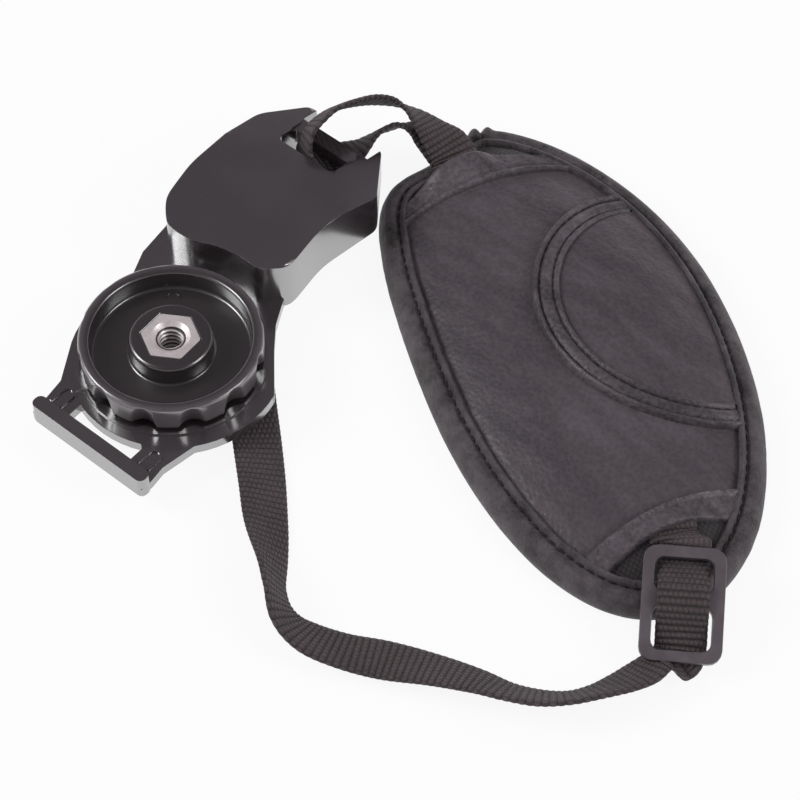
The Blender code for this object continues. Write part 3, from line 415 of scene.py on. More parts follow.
class Finishes:
    """Every material of the object, made once.

    Args:
        layout: where the screw axis is.
    """

    def __init__(self, layout: Layout) -> None:
        """Make every material."""
        self.plastic = self._moulded("moulded_plastic", Slot.BLACK_PLASTIC, (0.022, 0.017, 0.020),
                                     (0.033, 0.026, 0.030), 0.26, 0.02, 4.0, 0.17)
        self.knob = self._moulded("satin_knob", Slot.KNOB_PLASTIC, (0.017, 0.013, 0.015),
                                  (0.025, 0.020, 0.023), 0.34, 0.01, 2.3, 0.24)
        self._painted_skirt_highlight(self.knob, layout)
        self.slider = self._slider()
        self.nickel = self._nickel(layout)
        self.steel = self._steel()
        self.nylon = self._nylon()
        self.rubber = self._rubber()
        self.leather = self._leather("grained_leather", 0.0, 0.30, (0.050, 0.043, 0.050),
                                     (0.106, 0.093, 0.104))
        self.trim_leather = self._leather("grained_leather_trim", 25.0, 0.42, (0.030, 0.026, 0.030),
                                          (0.132, 0.117, 0.130))
        self.suede = self._suede()
        self.thread = self._thread()
        self.lining = self._lining()
        self.webbing = self._webbing()

    @staticmethod
    def _moulded(name: str, slot: Slot, dark: Sequence[float], light: Sequence[float], rough: float,
                 relief: float, gloss: float, haze: float) -> Recipe:
        """Make a moulded plastic with a clear skin.

        Args:
            name: the material's name.
            slot: the record's slot.
            dark: the colour's dark end.
            light: the colour's light end.
            rough: the lowest roughness under the skin.
            relief: depth of the grain in millimetres.
            gloss: refraction of the skin, which sets how strongly it mirrors.
            haze: roughness of the skin.

        Returns:
            The finish.
        """
        recipe = Recipe(name, slot)
        cloud = recipe.grain(60.0, 4.0)
        speck = recipe.grain(1400.0, 2.0)
        recipe.colour(cloud.spread(0.35, 0.7), dark, light)
        recipe.roughness(cloud.spread(0.3, 0.75, rough, rough + 0.09) + speck.spread(0.62, 0.8, 0.0, 0.12))
        recipe.bump(speck + recipe.grain(220.0, 1.0) * 1.5, relief, 0.5)
        return recipe.constant(IOR=1.55, Coat_Weight=1.0, Coat_Roughness=haze, Coat_IOR=gloss)

    @staticmethod
    def _painted_skirt_highlight(recipe: Recipe, layout: Layout) -> None:
        """Make the knob's outer rim and skirt a little paler, a painted highlight."""
        # painted highlight: paler from 17.4 mm out from the axis, broken up by grain
        painted_highlight = Finishes._from_axis(recipe, layout).spread(17.4 * MM, 19.5 * MM)
        grain = recipe.grain(500.0, 4.0)
        recipe.colour(painted_highlight * grain.spread(0.2, 0.6, 0.7, 1.0), (0.019, 0.015, 0.017), (0.088, 0.077, 0.084))

    @staticmethod
    def _slider() -> Recipe:
        """Satin plastic of the ladder slider."""
        recipe = Recipe("satin_slider", Slot.SLIDER_PLASTIC)
        cloud = recipe.grain(180.0, 3.0)
        fine = recipe.grain(2600.0, 2.0)
        recipe.colour(cloud.spread(0.3, 0.7), (0.086, 0.075, 0.084), (0.118, 0.104, 0.115))
        recipe.roughness(fine.spread(0.3, 0.7, 0.34, 0.48))
        return recipe.bump(fine, 0.02, 0.6).constant(IOR=1.6)

    @staticmethod
    def _from_axis(recipe: Recipe, layout: Layout) -> Value:
        """Return the distance from the screw's axis."""
        x, y, _ = recipe.parts_of(recipe.place())
        return ((x - layout.x) ** 2.0 + (y - layout.y) ** 2.0) ** 0.5

    @staticmethod
    def _nickel(layout: Layout) -> Recipe:
        """Nickel, with painted shade in the roots of the socket's thread."""
        recipe = Recipe("warm_nickel", Slot.NICKEL)
        cloud = recipe.grain(320.0, 4.0)
        radius = Finishes._from_axis(recipe, layout)
        # painted shade: darker between 2.95 and 3.14 mm from the axis, where the socket thread's roots lie
        root = radius.spread(2.62 * MM, 2.95 * MM) * radius.spread(3.14 * MM, 3.2 * MM, 1.0, 0.0)
        brushed = recipe.grain(900.0, 3.0, vector=recipe.place((0.25, 3.0, 1.0), 20.0))
        recipe.colour(cloud.spread(0.3, 0.7, 0.86, 1.0) * (1.0 - root * 0.94),
                      (0.020, 0.017, 0.016), (0.97, 0.92, 0.90))
        recipe.roughness(brushed.spread(0.3, 0.7, 0.34, 0.50))
        return recipe.bump(brushed, 0.012, 0.5).constant(Metallic=0.6)

    @staticmethod
    def _steel() -> Recipe:
        """Bright spring steel."""
        recipe = Recipe("spring_steel_clip", Slot.SPRING_STEEL)
        cloud = recipe.grain(500.0, 4.0)
        recipe.colour(cloud.spread(0.3, 0.7), (0.34, 0.34, 0.35), (0.46, 0.46, 0.47))
        recipe.roughness(cloud.spread(0.3, 0.7, 0.28, 0.45))
        return recipe.bump(cloud, 0.01, 0.4).constant(Metallic=1.0)

    @staticmethod
    def _nylon() -> Recipe:
        """Undyed nylon."""
        recipe = Recipe("natural_nylon", Slot.NYLON)
        cloud = recipe.grain(300.0, 3.0)
        recipe.colour(cloud.spread(0.3, 0.7), (0.50, 0.50, 0.47), (0.60, 0.60, 0.57))
        recipe.roughness(cloud.spread(0.3, 0.7, 0.42, 0.55))
        return recipe.bump(cloud, 0.02, 0.4)

    @staticmethod
    def _rubber() -> Recipe:
        """Matt black rubber."""
        recipe = Recipe("ribbed_rubber", Slot.RUBBER)
        fine = recipe.grain(1800.0, 4.0)
        recipe.colour(fine.spread(0.3, 0.7), (0.016, 0.016, 0.016), (0.030, 0.030, 0.030))
        recipe.roughness(fine.spread(0.3, 0.7, 0.70, 0.88))
        return recipe.bump(fine, 0.05, 0.6)

    @staticmethod
    def _leather(name: str, turn: float, relief: float, dark: Sequence[float],
                 light: Sequence[float]) -> Recipe:
        """Make a grained leather with drawn creases.

        Args:
            name: the material's name.
            turn: turn of the creases in degrees.
            relief: depth of the grain in millimetres.
            dark: the colour's dark end.
            light: the colour's light end.

        Returns:
            The finish.
        """
        recipe = Recipe(name, Slot.LEATHER)
        pebble = recipe.cells(1150.0, "SMOOTH_F1")
        pores = recipe.grain(2900.0, 2.0)
        drawn = recipe.grain(150.0, 5.0, 0.6, recipe.place((0.32, 1.25, 1.0), 32.5 + turn))
        broad = recipe.grain(42.0, 4.0, 0.55, recipe.place((0.6, 1.5, 1.0), 60.0 + turn))
        # colour is lighter where the grain, drawn creases and broad streaks stand high: random tone, with a
        # painted highlight on the raised grain
        tone_and_grain_highlight = drawn.spread(0.36, 0.68) * 0.5 + broad.spread(0.35, 0.7) * 0.3 + pebble.spread(0.1, 0.8) * 0.35
        recipe.colour(tone_and_grain_highlight, dark, light)
        recipe.roughness(drawn.spread(0.3, 0.7, 0.50, 0.36) + pores.spread(0.4, 0.7, 0.0, 0.06))
        height = pebble * 0.60 + pores * 0.20 + drawn * 0.40 + broad * 0.5
        recipe.bump(height, relief, 0.75)
        return recipe.constant(IOR=1.48, Sheen_Weight=0.06, Sheen_Roughness=0.4)

    @staticmethod
    def _suede() -> Recipe:
        """Soft, creased cloth of the binding."""
        recipe = Recipe("soft_binding", Slot.SUEDE)
        nap = recipe.grain(1500.0, 5.0, 0.7)
        cloud = recipe.grain(120.0, 4.0)
        gather = recipe.grain(330.0, 4.0, 0.6)
        tone = cloud.spread(0.3, 0.7) * 0.4 + nap.spread(0.35, 0.65) * 0.3
        recipe.colour(tone + gather.spread(0.35, 0.65) * 0.3,
                      (0.008, 0.006, 0.007), (0.112, 0.099, 0.107))
        recipe.roughness(nap.spread(0.3, 0.7, 0.52, 0.72))
        recipe.bump(nap * 0.45 + gather, 0.55, 0.85)
        return recipe.constant(Sheen_Weight=0.12, Sheen_Roughness=0.5)

    @staticmethod
    def _thread() -> Recipe:
        """Black sewing thread."""
        recipe = Recipe("black_thread", Slot.WEBBING)
        twist = recipe.grain(3000.0, 2.0)
        recipe.colour(twist.spread(0.3, 0.7), (0.010, 0.009, 0.010), (0.026, 0.023, 0.025))
        recipe.roughness(twist.spread(0.3, 0.7, 0.5, 0.7))
        return recipe.bump(twist, 0.05, 0.6)

    @staticmethod
    def _lining() -> Recipe:
        """Dark knitted lining."""
        recipe = Recipe("knitted_lining", Slot.LINING)
        along, across, _ = recipe.parts_of(recipe.place((1.0, 1.0, 1.0), 32.5))
        knit = (along * 4200.0).sine() * (across * 5200.0).sine()
        fuzz = recipe.grain(2400.0, 4.0, 0.7)
        recipe.colour(knit.spread(-0.6, 0.8) * 0.5 + fuzz.spread(0.3, 0.7) * 0.5,
                      (0.008, 0.007, 0.008), (0.050, 0.045, 0.048))
        recipe.roughness(fuzz.spread(0.3, 0.7, 0.86, 0.97))
        recipe.bump(knit * 0.4 + fuzz, 0.18, 0.7)
        return recipe.constant(Sheen_Weight=0.2, Sheen_Roughness=0.6)

    @staticmethod
    def _webbing() -> Recipe:
        """Woven tape; its UVs run in metres, U across the tape and V along it."""
        recipe = Recipe("woven_webbing", Slot.WEBBING)
        across, along, _ = recipe.parts_of(recipe.place(flat=True))
        row = along * (1.0 / (1.40 * MM))
        rib = (row * math.pi).sine().size() ** 0.6
        knot = ((across * (1.0 / (1.05 * MM)) + row.whole() * 0.5) * math.pi).sine().size() ** 0.5
        weave = rib * (knot * 0.65 + 0.35)
        fuzz = recipe.grain(2600.0, 4.0, 0.7)
        cloud = recipe.grain(140.0, 3.0)
        # colour follows the weave: near black in the gaps between ribs and knots, a painted shade, and
        # lighter on the yarn tops
        tone = weave * 0.55 + fuzz.spread(0.3, 0.75) * 0.30 + cloud.spread(0.3, 0.7) * 0.15
        recipe.colour(tone, (0.002, 0.0015, 0.0015), (0.108, 0.084, 0.085))
        recipe.roughness(fuzz.spread(0.3, 0.7, 0.58, 0.78))
        recipe.bump(weave + fuzz * 0.25, 0.50, 1.0)
        return recipe.constant(Sheen_Weight=0.08, Sheen_Roughness=0.5)


# Mesh tools


def catmull(points: Sequence[Sequence[float]], steps: int) -> list:
    """Return a Catmull-Rom curve through points of any length, as tuples."""
    padded = [tuple(points[0])] + [tuple(point) for point in points] + [tuple(points[-1])]
    curve = []
    for index in range(1, len(padded) - 2):
        a, b, c, d = padded[index - 1:index + 3]
        for step in range(steps):
            t = step / steps
            curve.append(tuple(0.5 * (2 * q + (r - p) * t + (2 * p - 5 * q + 4 * r - s) * t * t
                                      + (3 * q - p - 3 * r + s) * t ** 3)
                               for p, q, r, s in zip(a, b, c, d)))
    curve.append(tuple(points[-1]))
    return curve


def resample(points: Sequence[Vector], spacing: float) -> list:
    """Return (place, index, share) samples at an even spacing along a row of points."""
    samples = [(points[0].copy(), 0, 0.0)]
    wanted = spacing
    travelled = 0.0
    for index in range(len(points) - 1):
        step = (points[index + 1] - points[index]).length
        while step > 0.0 and travelled + step >= wanted:
            share = (wanted - travelled) / step
            samples.append((points[index].lerp(points[index + 1], share), index, share))
            wanted += spacing
        travelled += step
    return samples


class Builder:
    """Makes objects from lists of points and faces.

    Args:
        layout: where the screw axis is.
    """

    def __init__(self, layout: Layout) -> None:
        """Keep the layout."""
        self.layout = layout

    def mesh(self, name: str, points: Sequence[Sequence[float]], faces: Sequence[Sequence[int]],
             recipes: Sequence[Recipe], smooth: float = 60.0, uvs: Optional[list] = None,
             slots: Optional[list] = None) -> bpy.types.Object:
        """Make an object from points in layout millimetres.

        Args:
            name: the piece's name.
            points: places in millimetres from the screw axis.
            faces: tuples of point numbers.
            recipes: the materials, first one by default.
            smooth: edges sharper than this many degrees stay sharp.
            uvs: one (u, v) for each point, or None.
            slots: one material number for each face, or None.

        Returns:
            The object.
        """
        mesh = bpy.data.meshes.new(name)
        mesh.from_pydata([self.layout.at(point) for point in points], [], faces)
        for recipe in recipes:
            mesh.materials.append(recipe.material)
        if slots is not None:
            mesh.polygons.foreach_set("material_index", slots)
        if uvs is not None:
            layer = mesh.uv_layers.new(name="tape")
            for loop in mesh.loops:
                layer.data[loop.index].uv = uvs[loop.vertex_index]
        shape = bmesh.new()
        shape.from_mesh(mesh)
        bmesh.ops.recalc_face_normals(shape, faces=shape.faces)
        shape.to_mesh(mesh)
        shape.free()
        mesh.shade_smooth()
        mesh.set_sharp_from_angle(angle=math.radians(smooth))
        piece = bpy.data.objects.new(name, mesh)
        bpy.context.scene.collection.objects.link(piece)
        return piece

    def loft(self, name: str, sections: Sequence[Sequence[Vector]], recipes: Sequence[Recipe],
             closed: bool = False, smooth: float = 60.0, uvs: Optional[list] = None) -> bpy.types.Object:
        """Skin a row of equally long closed sections.

        Args:
            name: the piece's name.
            sections: rings of places in layout millimetres.
            recipes: the materials.
            closed: whether the last ring joins the first.
            smooth: edges sharper than this many degrees stay sharp.
            uvs: one (u, v) for each point, or None.

        Returns:
            The object.
        """
        size = len(sections[0])
        points = [point for section in sections for point in section]
        count = len(sections)
        faces = []
        for row in range(count if closed else count - 1):
            following = (row + 1) % count
            for index in range(size):
                after = (index + 1) % size
                faces.append((row * size + index, row * size + after,
                              following * size + after, following * size + index))
        if not closed:
            faces.append(tuple(range(size)))
            faces.append(tuple(reversed(range((count - 1) * size, count * size))))
        return self.mesh(name, points, faces, recipes, smooth, uvs)


def wobble(x: float, y: float, seed: float, scale: float) -> float:
    """Return repeatable smooth noise between about -1 and 1."""
    return noise.noise(Vector((x / scale, y / scale, seed)))


def plain(piece: bpy.types.Object) -> None:
    """Turn a piece's modifiers into plain geometry."""
    depsgraph = bpy.context.evaluated_depsgraph_get()
    depsgraph.update()
    mesh = bpy.data.meshes.new_from_object(piece.evaluated_get(depsgraph))
    piece.modifiers.clear()
    piece.data = mesh


# Webbing


@dataclass
class Route:
    """Flat tape that follows stations of a centre and a width direction, in millimetres.

    Args:
        stations: (centre, width direction) pairs.
    """
    stations: list

    def curve(self, steps: int = 12) -> list:
        """Return finely spaced (centre, width direction) pairs."""
        rows = catmull([tuple(place) + tuple(across) for place, across in self.stations], steps)
        return [(Vector(row[:3]), Vector(row[3:])) for row in rows]

    def split(self, station: int) -> tuple:
        """Return the route up to a station, and from the far end back to it."""
        return (Route(self.stations[:station + 1]),
                Route([(place, tuple(-value for value in across))
                       for place, across in reversed(self.stations[station:])]))

    def length(self) -> float:
        """Return the length of the centreline in millimetres."""
        centres = [centre for centre, _ in self.curve()]
        return sum((b - a).length for a, b in zip(centres, centres[1:]))


class Rest:
    """The hand rest's outline and domed top, the same formulas as in the part's source."""
    CENTRE = (62.5, 59.4)
    TURN = -32.5
    HALF_LENGTH = 68.2
    HALF_WIDTH = 34.7
    SQUARENESS = 2.07
    LOOP_END_BEND = 9.5
    SLIDER_END_BEND = 2.4
    END_FLAT = (0.13, 3.375, 0.35)
    CROWN = 9.0
    BINDING_WIDTH = 6.0
    FACE_TOP = 3.3
    PANEL_CENTRE = (-1.8, 25.7)
    PANEL_RADIUS = 28.0
    TRIM_WIDTH = 5.8

    @classmethod
    def bend(cls, x: float) -> float:
        """Return the sideways shift of the pad's middle line at a place along it."""
        most = cls.SLIDER_END_BEND if x > 0.0 else cls.LOOP_END_BEND
        return -most * (x / cls.HALF_LENGTH) ** 2

    @classmethod
    def edge(cls, angle: float) -> tuple:
        """Return the outline's point at an angle."""
        power = 2.0 / cls.SQUARENESS
        cosine = math.cos(angle)
        sine = math.sin(angle)
        depth, middle, spread = cls.END_FLAT
        away = (angle - middle + math.pi) % (2 * math.pi) - math.pi
        share = 1.0 - depth * math.exp(-(away / spread) ** 2)
        x = share * cls.HALF_LENGTH * math.copysign(abs(cosine) ** power, cosine)
        y = share * cls.HALF_WIDTH * math.copysign(abs(sine) ** power, sine)
        return x, y + cls.bend(x)

    @classmethod
    def inset(cls, angle: float, distance: float) -> Vector:
        """Return the outline's point moved inwards."""
        tangent = (Vector(cls.edge(angle + 0.02)) - Vector(cls.edge(angle - 0.02))).normalized()
        return Vector(cls.edge(angle)) + Vector((-tangent.y, tangent.x)) * distance

    @classmethod
    def dome(cls, x: float, y: float) -> float:
        """Return how far the stuffing lifts the top."""
        along = abs(x / cls.HALF_LENGTH) ** cls.SQUARENESS
        across = abs((y - cls.bend(x)) / cls.HALF_WIDTH) ** cls.SQUARENESS
        share = min(1.0, (along + across) ** (1 / cls.SQUARENESS))
        return cls.CROWN * (1.0 - share * share)

    @classmethod
    def place(cls, x: float, y: float, z: float) -> Vector:
        """Return a point of the rest's frame in layout millimetres."""
        flat = Matrix.Rotation(math.radians(cls.TURN), 2) @ Vector((x, y)) + Vector(cls.CENTRE)
        return Vector((flat.x, flat.y, z))

    @classmethod
    def on_face(cls, x: float, y: float, lift: float = 0.0) -> Vector:
        """Return a point on the leather's top, lifted."""
        return cls.place(x, y, cls.FACE_TOP + cls.dome(x, y) + lift)

    @classmethod
    def half_width(cls, x: float) -> float:
        """Return how far the face reaches to each side before the binding."""
        length = cls.HALF_LENGTH - cls.BINDING_WIDTH - 2 * GAP
        width = cls.HALF_WIDTH - cls.BINDING_WIDTH - 3 * GAP
        share = min(1.0, abs(x) / length) ** cls.SQUARENESS
        return width * (1.0 - share) ** (1 / cls.SQUARENESS)


def on_rest(x: float, y: float, layer: float) -> tuple:
    """Return the middle of a webbing layer that lies on the rest's face."""
    pitch = WEBBING_THICKNESS + GAP
    return tuple(Rest.on_face(x, y, GAP + WEBBING_THICKNESS / 2 + layer * pitch))


def on_slider(along: float, above: float, aside: float = 0.0) -> tuple:
    """Return a point measured from the slider's centre, along it, out of its face and across."""
    across = Vector(SLIDER_ACROSS).normalized()
    length = Vector(SLIDER_ALONG).normalized()
    normal = across.cross(length)
    return tuple(Vector(SLIDER_CENTRE) + length * along + normal * above + across * aside)


def loop_route() -> Route:
    """From the pad, over in an arch, down the block's slot, round its bar and back to the pad."""
    across = (0.530, 0.848, 0.0)
    return Route([(on_rest(-51.0, LOOP_Y, 0.35), across), (on_rest(-55.0, LOOP_Y, 1.15), across),
                  ((6.6, 81.8, 10.9), (0.46, 0.86, -0.20)), ((1.6, 82.3, 11.9), (0.30, 0.78, -0.52)),
                  ((-3.0, 82.0, 13.4), (0.06, 0.64, -0.74)), ((-6.8, 80.4, 14.8), (-0.16, 0.52, -0.82)),
                  ((-9.9, 77.0, 16.2), (-0.34, 0.44, -0.82)), ((-12.2, 72.2, 17.4), (-0.46, 0.42, -0.78)),
                  ((-13.4, 67.4, 18.4), (-0.52, 0.42, -0.74)), ((-13.8, 63.5, 18.2), (-0.60, 0.42, -0.68)),
                  ((-13.9, 60.2, 16.8), (-0.62, 0.42, -0.66)), ((-13.2, 58.1, 13.8), (-0.72, 0.38, -0.58)),
                  ((-11.9, 57.9, 10.8), (-0.93, 0.22, -0.28)), ((-10.6, 60.2, 8.4), (-1.0, 0.06, 0.0)),
                  ((-9.3, 63.2, 7.9), (-1.0, 0.03, 0.0)), ((-8.2, 66.6, 8.1), (-0.93, 0.26, -0.24)),
                  ((-7.2, 69.8, 9.0), (-0.74, 0.42, -0.53)), ((-6.6, 72.8, 9.8), (-0.54, 0.48, -0.69)),
                  ((-5.5, 76.0, 10.4), (-0.36, 0.56, -0.74)), ((-3.3, 79.2, 10.5), (-0.10, 0.70, -0.68)),
                  ((0.8, 81.2, 9.9), (0.24, 0.82, -0.44)), ((6.2, 81.4, 9.2), (0.46, 0.88, -0.14)),
                  (on_rest(-55.0, LOOP_Y, 0.25), across), (on_rest(-51.0, LOOP_Y, -0.4), across)])


def tail_route() -> Route:
    """From under the bottom band, through the slider, along the table and under the plate."""
    across = tuple(-value for value in SLIDER_ACROSS)
    clear = SLIDER_THICKNESS / 2 + GAP + WEBBING_THICKNESS / 2
    end = SLIDER_LENGTH / 2 - SLIDER_BAR
    middle = SLIDER_MIDDLE
    return Route([(on_rest(49.4, TAIL_Y, -0.45), (-0.530, -0.848, 0.0)),
                  (on_rest(51.4, TAIL_Y, -0.38), (-0.56, -0.83, 0.0)),
                  (on_rest(53.8, TAIL_Y - 0.3, -0.2), (-0.62, -0.78, 0.0)),
                  (on_slider(end + 4.2, -clear - 0.6), across), (on_slider(end + 1.0, -clear), across),
                  (on_slider(end - 0.7, 0.1 - clear), across), (on_slider(middle + 4.4, 0.5), across),
                  (on_slider(middle + 2.0, clear), across), (on_slider(middle, clear + 0.1), across),
                  (on_slider(middle - 2.0, clear), across), (on_slider(middle - 5.2, -0.3), across),
                  (on_slider(0.8 - end, -clear), across),
                  (on_slider(-1.0 - end, -clear - 0.2, -0.7), across),
                  ((122.6, 8.2, 2.3), (-0.80, -0.26, -0.46)), ((121.6, 4.1, 2.7), (-0.79, 0.15, -0.50)),
                  ((120.2, 0.0, 3.3), (-0.66, 0.40, -0.60)), ((117.9, -5.0, 4.0), (-0.53, 0.45, -0.72)),
                  ((114.6, -9.8, 4.2), (-0.40, 0.54, -0.74)), ((110.0, -13.6, 4.0), (-0.33, 0.64, -0.69)),
                  ((104.3, -16.4, 3.8), (-0.33, 0.68, -0.66)), ((97.5, -18.4, 3.2), (-0.36, 0.76, -0.54)),
                  ((89.6, -21.4, 2.6), (-0.40, 0.82, -0.40)), ((80.4, -25.6, 1.9), (-0.43, 0.87, -0.22)),
                  ((73.0, -29.4, 2.3), (-0.40, 0.87, -0.31)), ((65.8, -31.8, 2.9), (-0.35, 0.84, -0.41)),
                  ((59.4, -31.6, 3.7), (-0.30, 0.74, -0.60)), ((53.4, -28.0, 4.2), (-0.25, 0.65, -0.71)),
                  ((47.4, -22.6, 4.0), (-0.03, 0.75, -0.66)), ((40.4, -16.2, 3.3), (0.25, 0.84, -0.48)),
                  ((33.8, -9.8, 2.7), (0.40, 0.84, -0.36)), ((25.8, -2.4, 1.9), (0.58, 0.79, -0.20)),
                  ((17.2, 5.4, 1.1), (0.66, 0.75, -0.05)), ((9.0, 13.2, 0.8), (0.68, 0.73, 0.0))])


class Webbing:
    """Ribbed tape modelled along a route.

    Args:
        builder: makes the mesh.
        finish: the webbing's material.
    """
    SPACING = 0.26
    RIB_PITCH = 1.40
    RIB_HEIGHT = 0.16
    COLUMNS = 14
    TABLE = 0.05

    def __init__(self, builder: Builder, finish: Recipe) -> None:
        """Keep the mesh maker and the material."""
        self.builder = builder
        self.finish = finish

    def section(self, travelled: float) -> list:
        """Return (across share, height) points round the tape at a place along it."""
        rib = abs(math.sin(math.pi * travelled / self.RIB_PITCH)) ** 0.8
        half = WEBBING_THICKNESS / 2 - self.RIB_HEIGHT * (1.0 - rib)
        scallop = 1.0 - 0.018 * (1.0 - rib)
        top = []
        for column in range(self.COLUMNS + 1):
            share = (2.0 * column / self.COLUMNS - 1.0)
            edge = max(0.0, 1.0 - abs(share) ** 9) ** 0.5
            top.append((share * scallop, half * max(0.32, edge)))
        return top + [(share, -height) for share, height in reversed(top)]

    def make(self, name: str, route: Route) -> bpy.types.Object:
        """Model the tape with its ribs and UVs."""
        curve = route.curve()
        centres = [centre for centre, _ in curve]
        samples = resample(centres, self.SPACING)
        sections = []
        uvs = []
        for number, (centre, index, share) in enumerate(samples):
            ahead = samples[min(number + 1, len(samples) - 1)][0]
            behind = samples[max(number - 1, 0)][0]
            tangent = (ahead - behind).normalized()
            across = curve[index][1].lerp(curve[min(index + 1, len(curve) - 1)][1], share)
            across = (across - tangent * across.dot(tangent)).normalized()
            up = tangent.cross(across)
            ring = self.section(number * self.SPACING)
            half = WEBBING_WIDTH / 2
            points = [centre + across * (half * side) + up * height for side, height in ring]
            sunk = max(0.0, self.TABLE - min(point.z for point in points))
            sections.append([point + Vector((0.0, 0.0, sunk)) for point in points])
            uvs += [(side * half * MM, number * self.SPACING * MM) for side, _ in ring]
        return self.builder.loft(name, sections, [self.finish], uvs=uvs, smooth=75.0)


# Hand rest


class HandRest:
    """The padded leather rest: cushion, panel, bands and binding.

    Args:
        builder: makes the meshes.
        finishes: the materials.
    """
    STEPS = 200
    UNDERSIDE = 1.1

    def __init__(self, builder: Builder, finishes: Finishes) -> None:
        """Keep the mesh maker and the materials."""
        self.builder = builder
        self.finishes = finishes

    def cushion(self) -> bpy.types.Object:
        """Leather face and knitted underside as one crowned closed form."""
        shares = [1.0, 0.985, 0.965] + [0.95 - 0.015 * step for step in range(20)]
        shares += [0.61, 0.55, 0.48, 0.40, 0.31, 0.21, 0.10]
        angles = [2 * math.pi * (step + 0.5) / self.STEPS for step in range(self.STEPS)]
        edge = [Rest.inset(angle, 1.4) for angle in angles]
        points = []
        rows = []
        for upper in (True, False):
            for share in shares:
                row = []
                for angle, (x, y) in zip(angles, edge):
                    px = x * share
                    py = (y - Rest.bend(x)) * share + Rest.bend(px)
                    reach = (1.0 - share) * math.hypot(x, y)
                    if upper:
                        seam = math.exp(-((reach - 4.9) / 1.8) ** 2)
                        pucker = 0.16 * wobble(40 * math.cos(angle) + 40, 40 * math.sin(angle), 3.0, 1.5)
                        lift = seam * (pucker - 0.28) + 0.22 * wobble(px, py, 1.0, 13.0) * (1 - share) ** 0.5
                        z = Rest.FACE_TOP + Rest.dome(px, py) + lift
                    else:
                        z = self.UNDERSIDE + 0.12 * wobble(px, py, 7.0, 9.0) * (1.0 - share) ** 0.5
                    row.append(len(points))
                    points.append(Rest.place(px, py, z))
                rows.append((upper, row))
        faces = []
        slots = []
        top = [row for upper, row in rows if upper]
        under = [row for upper, row in rows if not upper]
        for group, slot in ((top, 0), (under, 1)):
            for outer, inner in zip(group, group[1:]):
                for index in range(self.STEPS):
                    after = (index + 1) % self.STEPS
                    faces.append((outer[index], outer[after], inner[after], inner[index]))
                    slots.append(1 if self.bare_end(points[outer[index]]) else slot)
            middle = len(points)
            points.append(Rest.place(0.0, 0.0, Rest.FACE_TOP + Rest.CROWN if slot == 0 else self.UNDERSIDE))
            for index in range(self.STEPS):
                faces.append((group[-1][index], group[-1][(index + 1) % self.STEPS], middle))
                slots.append(slot)
        for index in range(self.STEPS):
            after = (index + 1) % self.STEPS
            faces.append((top[0][index], top[0][after], under[0][after], under[0][index]))
            slots.append(0)
        return self.builder.mesh("pad_cushion", points, faces,
                                 [self.finishes.leather, self.finishes.lining], slots=slots)

    @classmethod
    def bare_end(cls, point: Vector) -> bool:
        """Tell whether a point lies beyond the bands, where the leather stops."""
        flat = Matrix.Rotation(math.radians(-Rest.TURN), 2) @ (Vector(point[:2]) - Vector(Rest.CENTRE))
        side = flat.y - Rest.bend(flat.x)
        return not -50.4 - 0.08 * side + 0.0107 * side ** 2 < flat.x < 49.4 - 0.21 * side + 0.012 * side ** 2

    def binding(self) -> bpy.types.Object:
        """Folded strip rolled round the edge, gathered on its bends, with a narrow inner lip."""
        section = [(0.9, 0.0, 0), (0.25, 0.55, 0), (0.0, 1.7, 0), (0.12, 2.9, 0.3), (0.6, 3.9, 0.7),
                   (1.4, 4.6, 1), (2.3, 5.0, 1), (3.1, 4.95, 1), (3.7, 4.6, 1), (4.1, 4.1, 1),
                   (4.4, 3.85, 1), (4.7, 4.2, 1), (5.05, 4.95, 1), (5.5, 5.0, 1), (5.95, 4.5, 1),
                   (6.1, 3.6, 1), (5.9, 2.2, 0.2), (5.9, 0.5, 0), (5.2, 0.0, 0)]
        count = 420
        sections = []
        for step in range(count):
            angle = 2 * math.pi * step / count
            x, y = Rest.edge(angle)
            broad = wobble(x, y, 11.0, 9.0)
            gather = wobble(x, y, 12.0, 1.9)
            turned = math.degrees(angle)
            fold = sum(math.exp(-((turned - place) / 1.7) ** 2) for place in (164.0, 169.5))
            pinch = math.exp(-((turned - 166.8) / 0.9) ** 2) + math.exp(-((turned - 172.5) / 1.1) ** 2)
            ring = []
            for inset, height, follow in section:
                upper = min(1.0, height / 3.0)
                drawn = upper * (0.20 * broad + 0.10 * gather)
                flat = Rest.inset(angle, inset + drawn - 0.4 * fold * (inset < 4.0))
                lift = upper * (0.22 * broad + 0.16 * gather + (0.9 * fold - 1.0 * pinch) * (inset < 4.2))
                z = max(0.0, height + lift + follow * Rest.dome(flat.x, flat.y))
                ring.append(Rest.place(flat.x, flat.y, z))
            sections.append(ring)
        return self.builder.loft("rolled_binding", sections, [self.finishes.suede], closed=True)

    def strip(self, name: str, rows: Sequence[Sequence[tuple]], lift: Callable, profile: Callable,
              recipe: Recipe, gather: float = 0.05) -> bpy.types.Object:
        """Lay a leather strip on the face.

        Args:
            name: the piece's name.
            rows: rows of (x, y) points across the strip, one row for each place along it.
            lift: extra height as a function of y and the share across.
            profile: height over the face as a function of the share across, 0 to 1.
            recipe: the material.
            gather: how much the surface puckers, in millimetres.

        Returns:
            The piece.
        """
        sections = []
        for row in rows:
            last = len(row) - 1
            top = []
            for index, (x, y) in enumerate(row):
                height = profile(index / last) + gather * (wobble(x, y, 5.0, 2.2) + wobble(x, y, 6.0, 0.9))
                top.append(Rest.on_face(x, y, lift(y, index / last) + height))
            base = [Rest.on_face(x, y, lift(y, 1.0 - index / last) - 0.35)
                    for index, (x, y) in enumerate(reversed(row))]
            sections.append(top + base)
        return self.builder.loft(name, sections, [recipe])

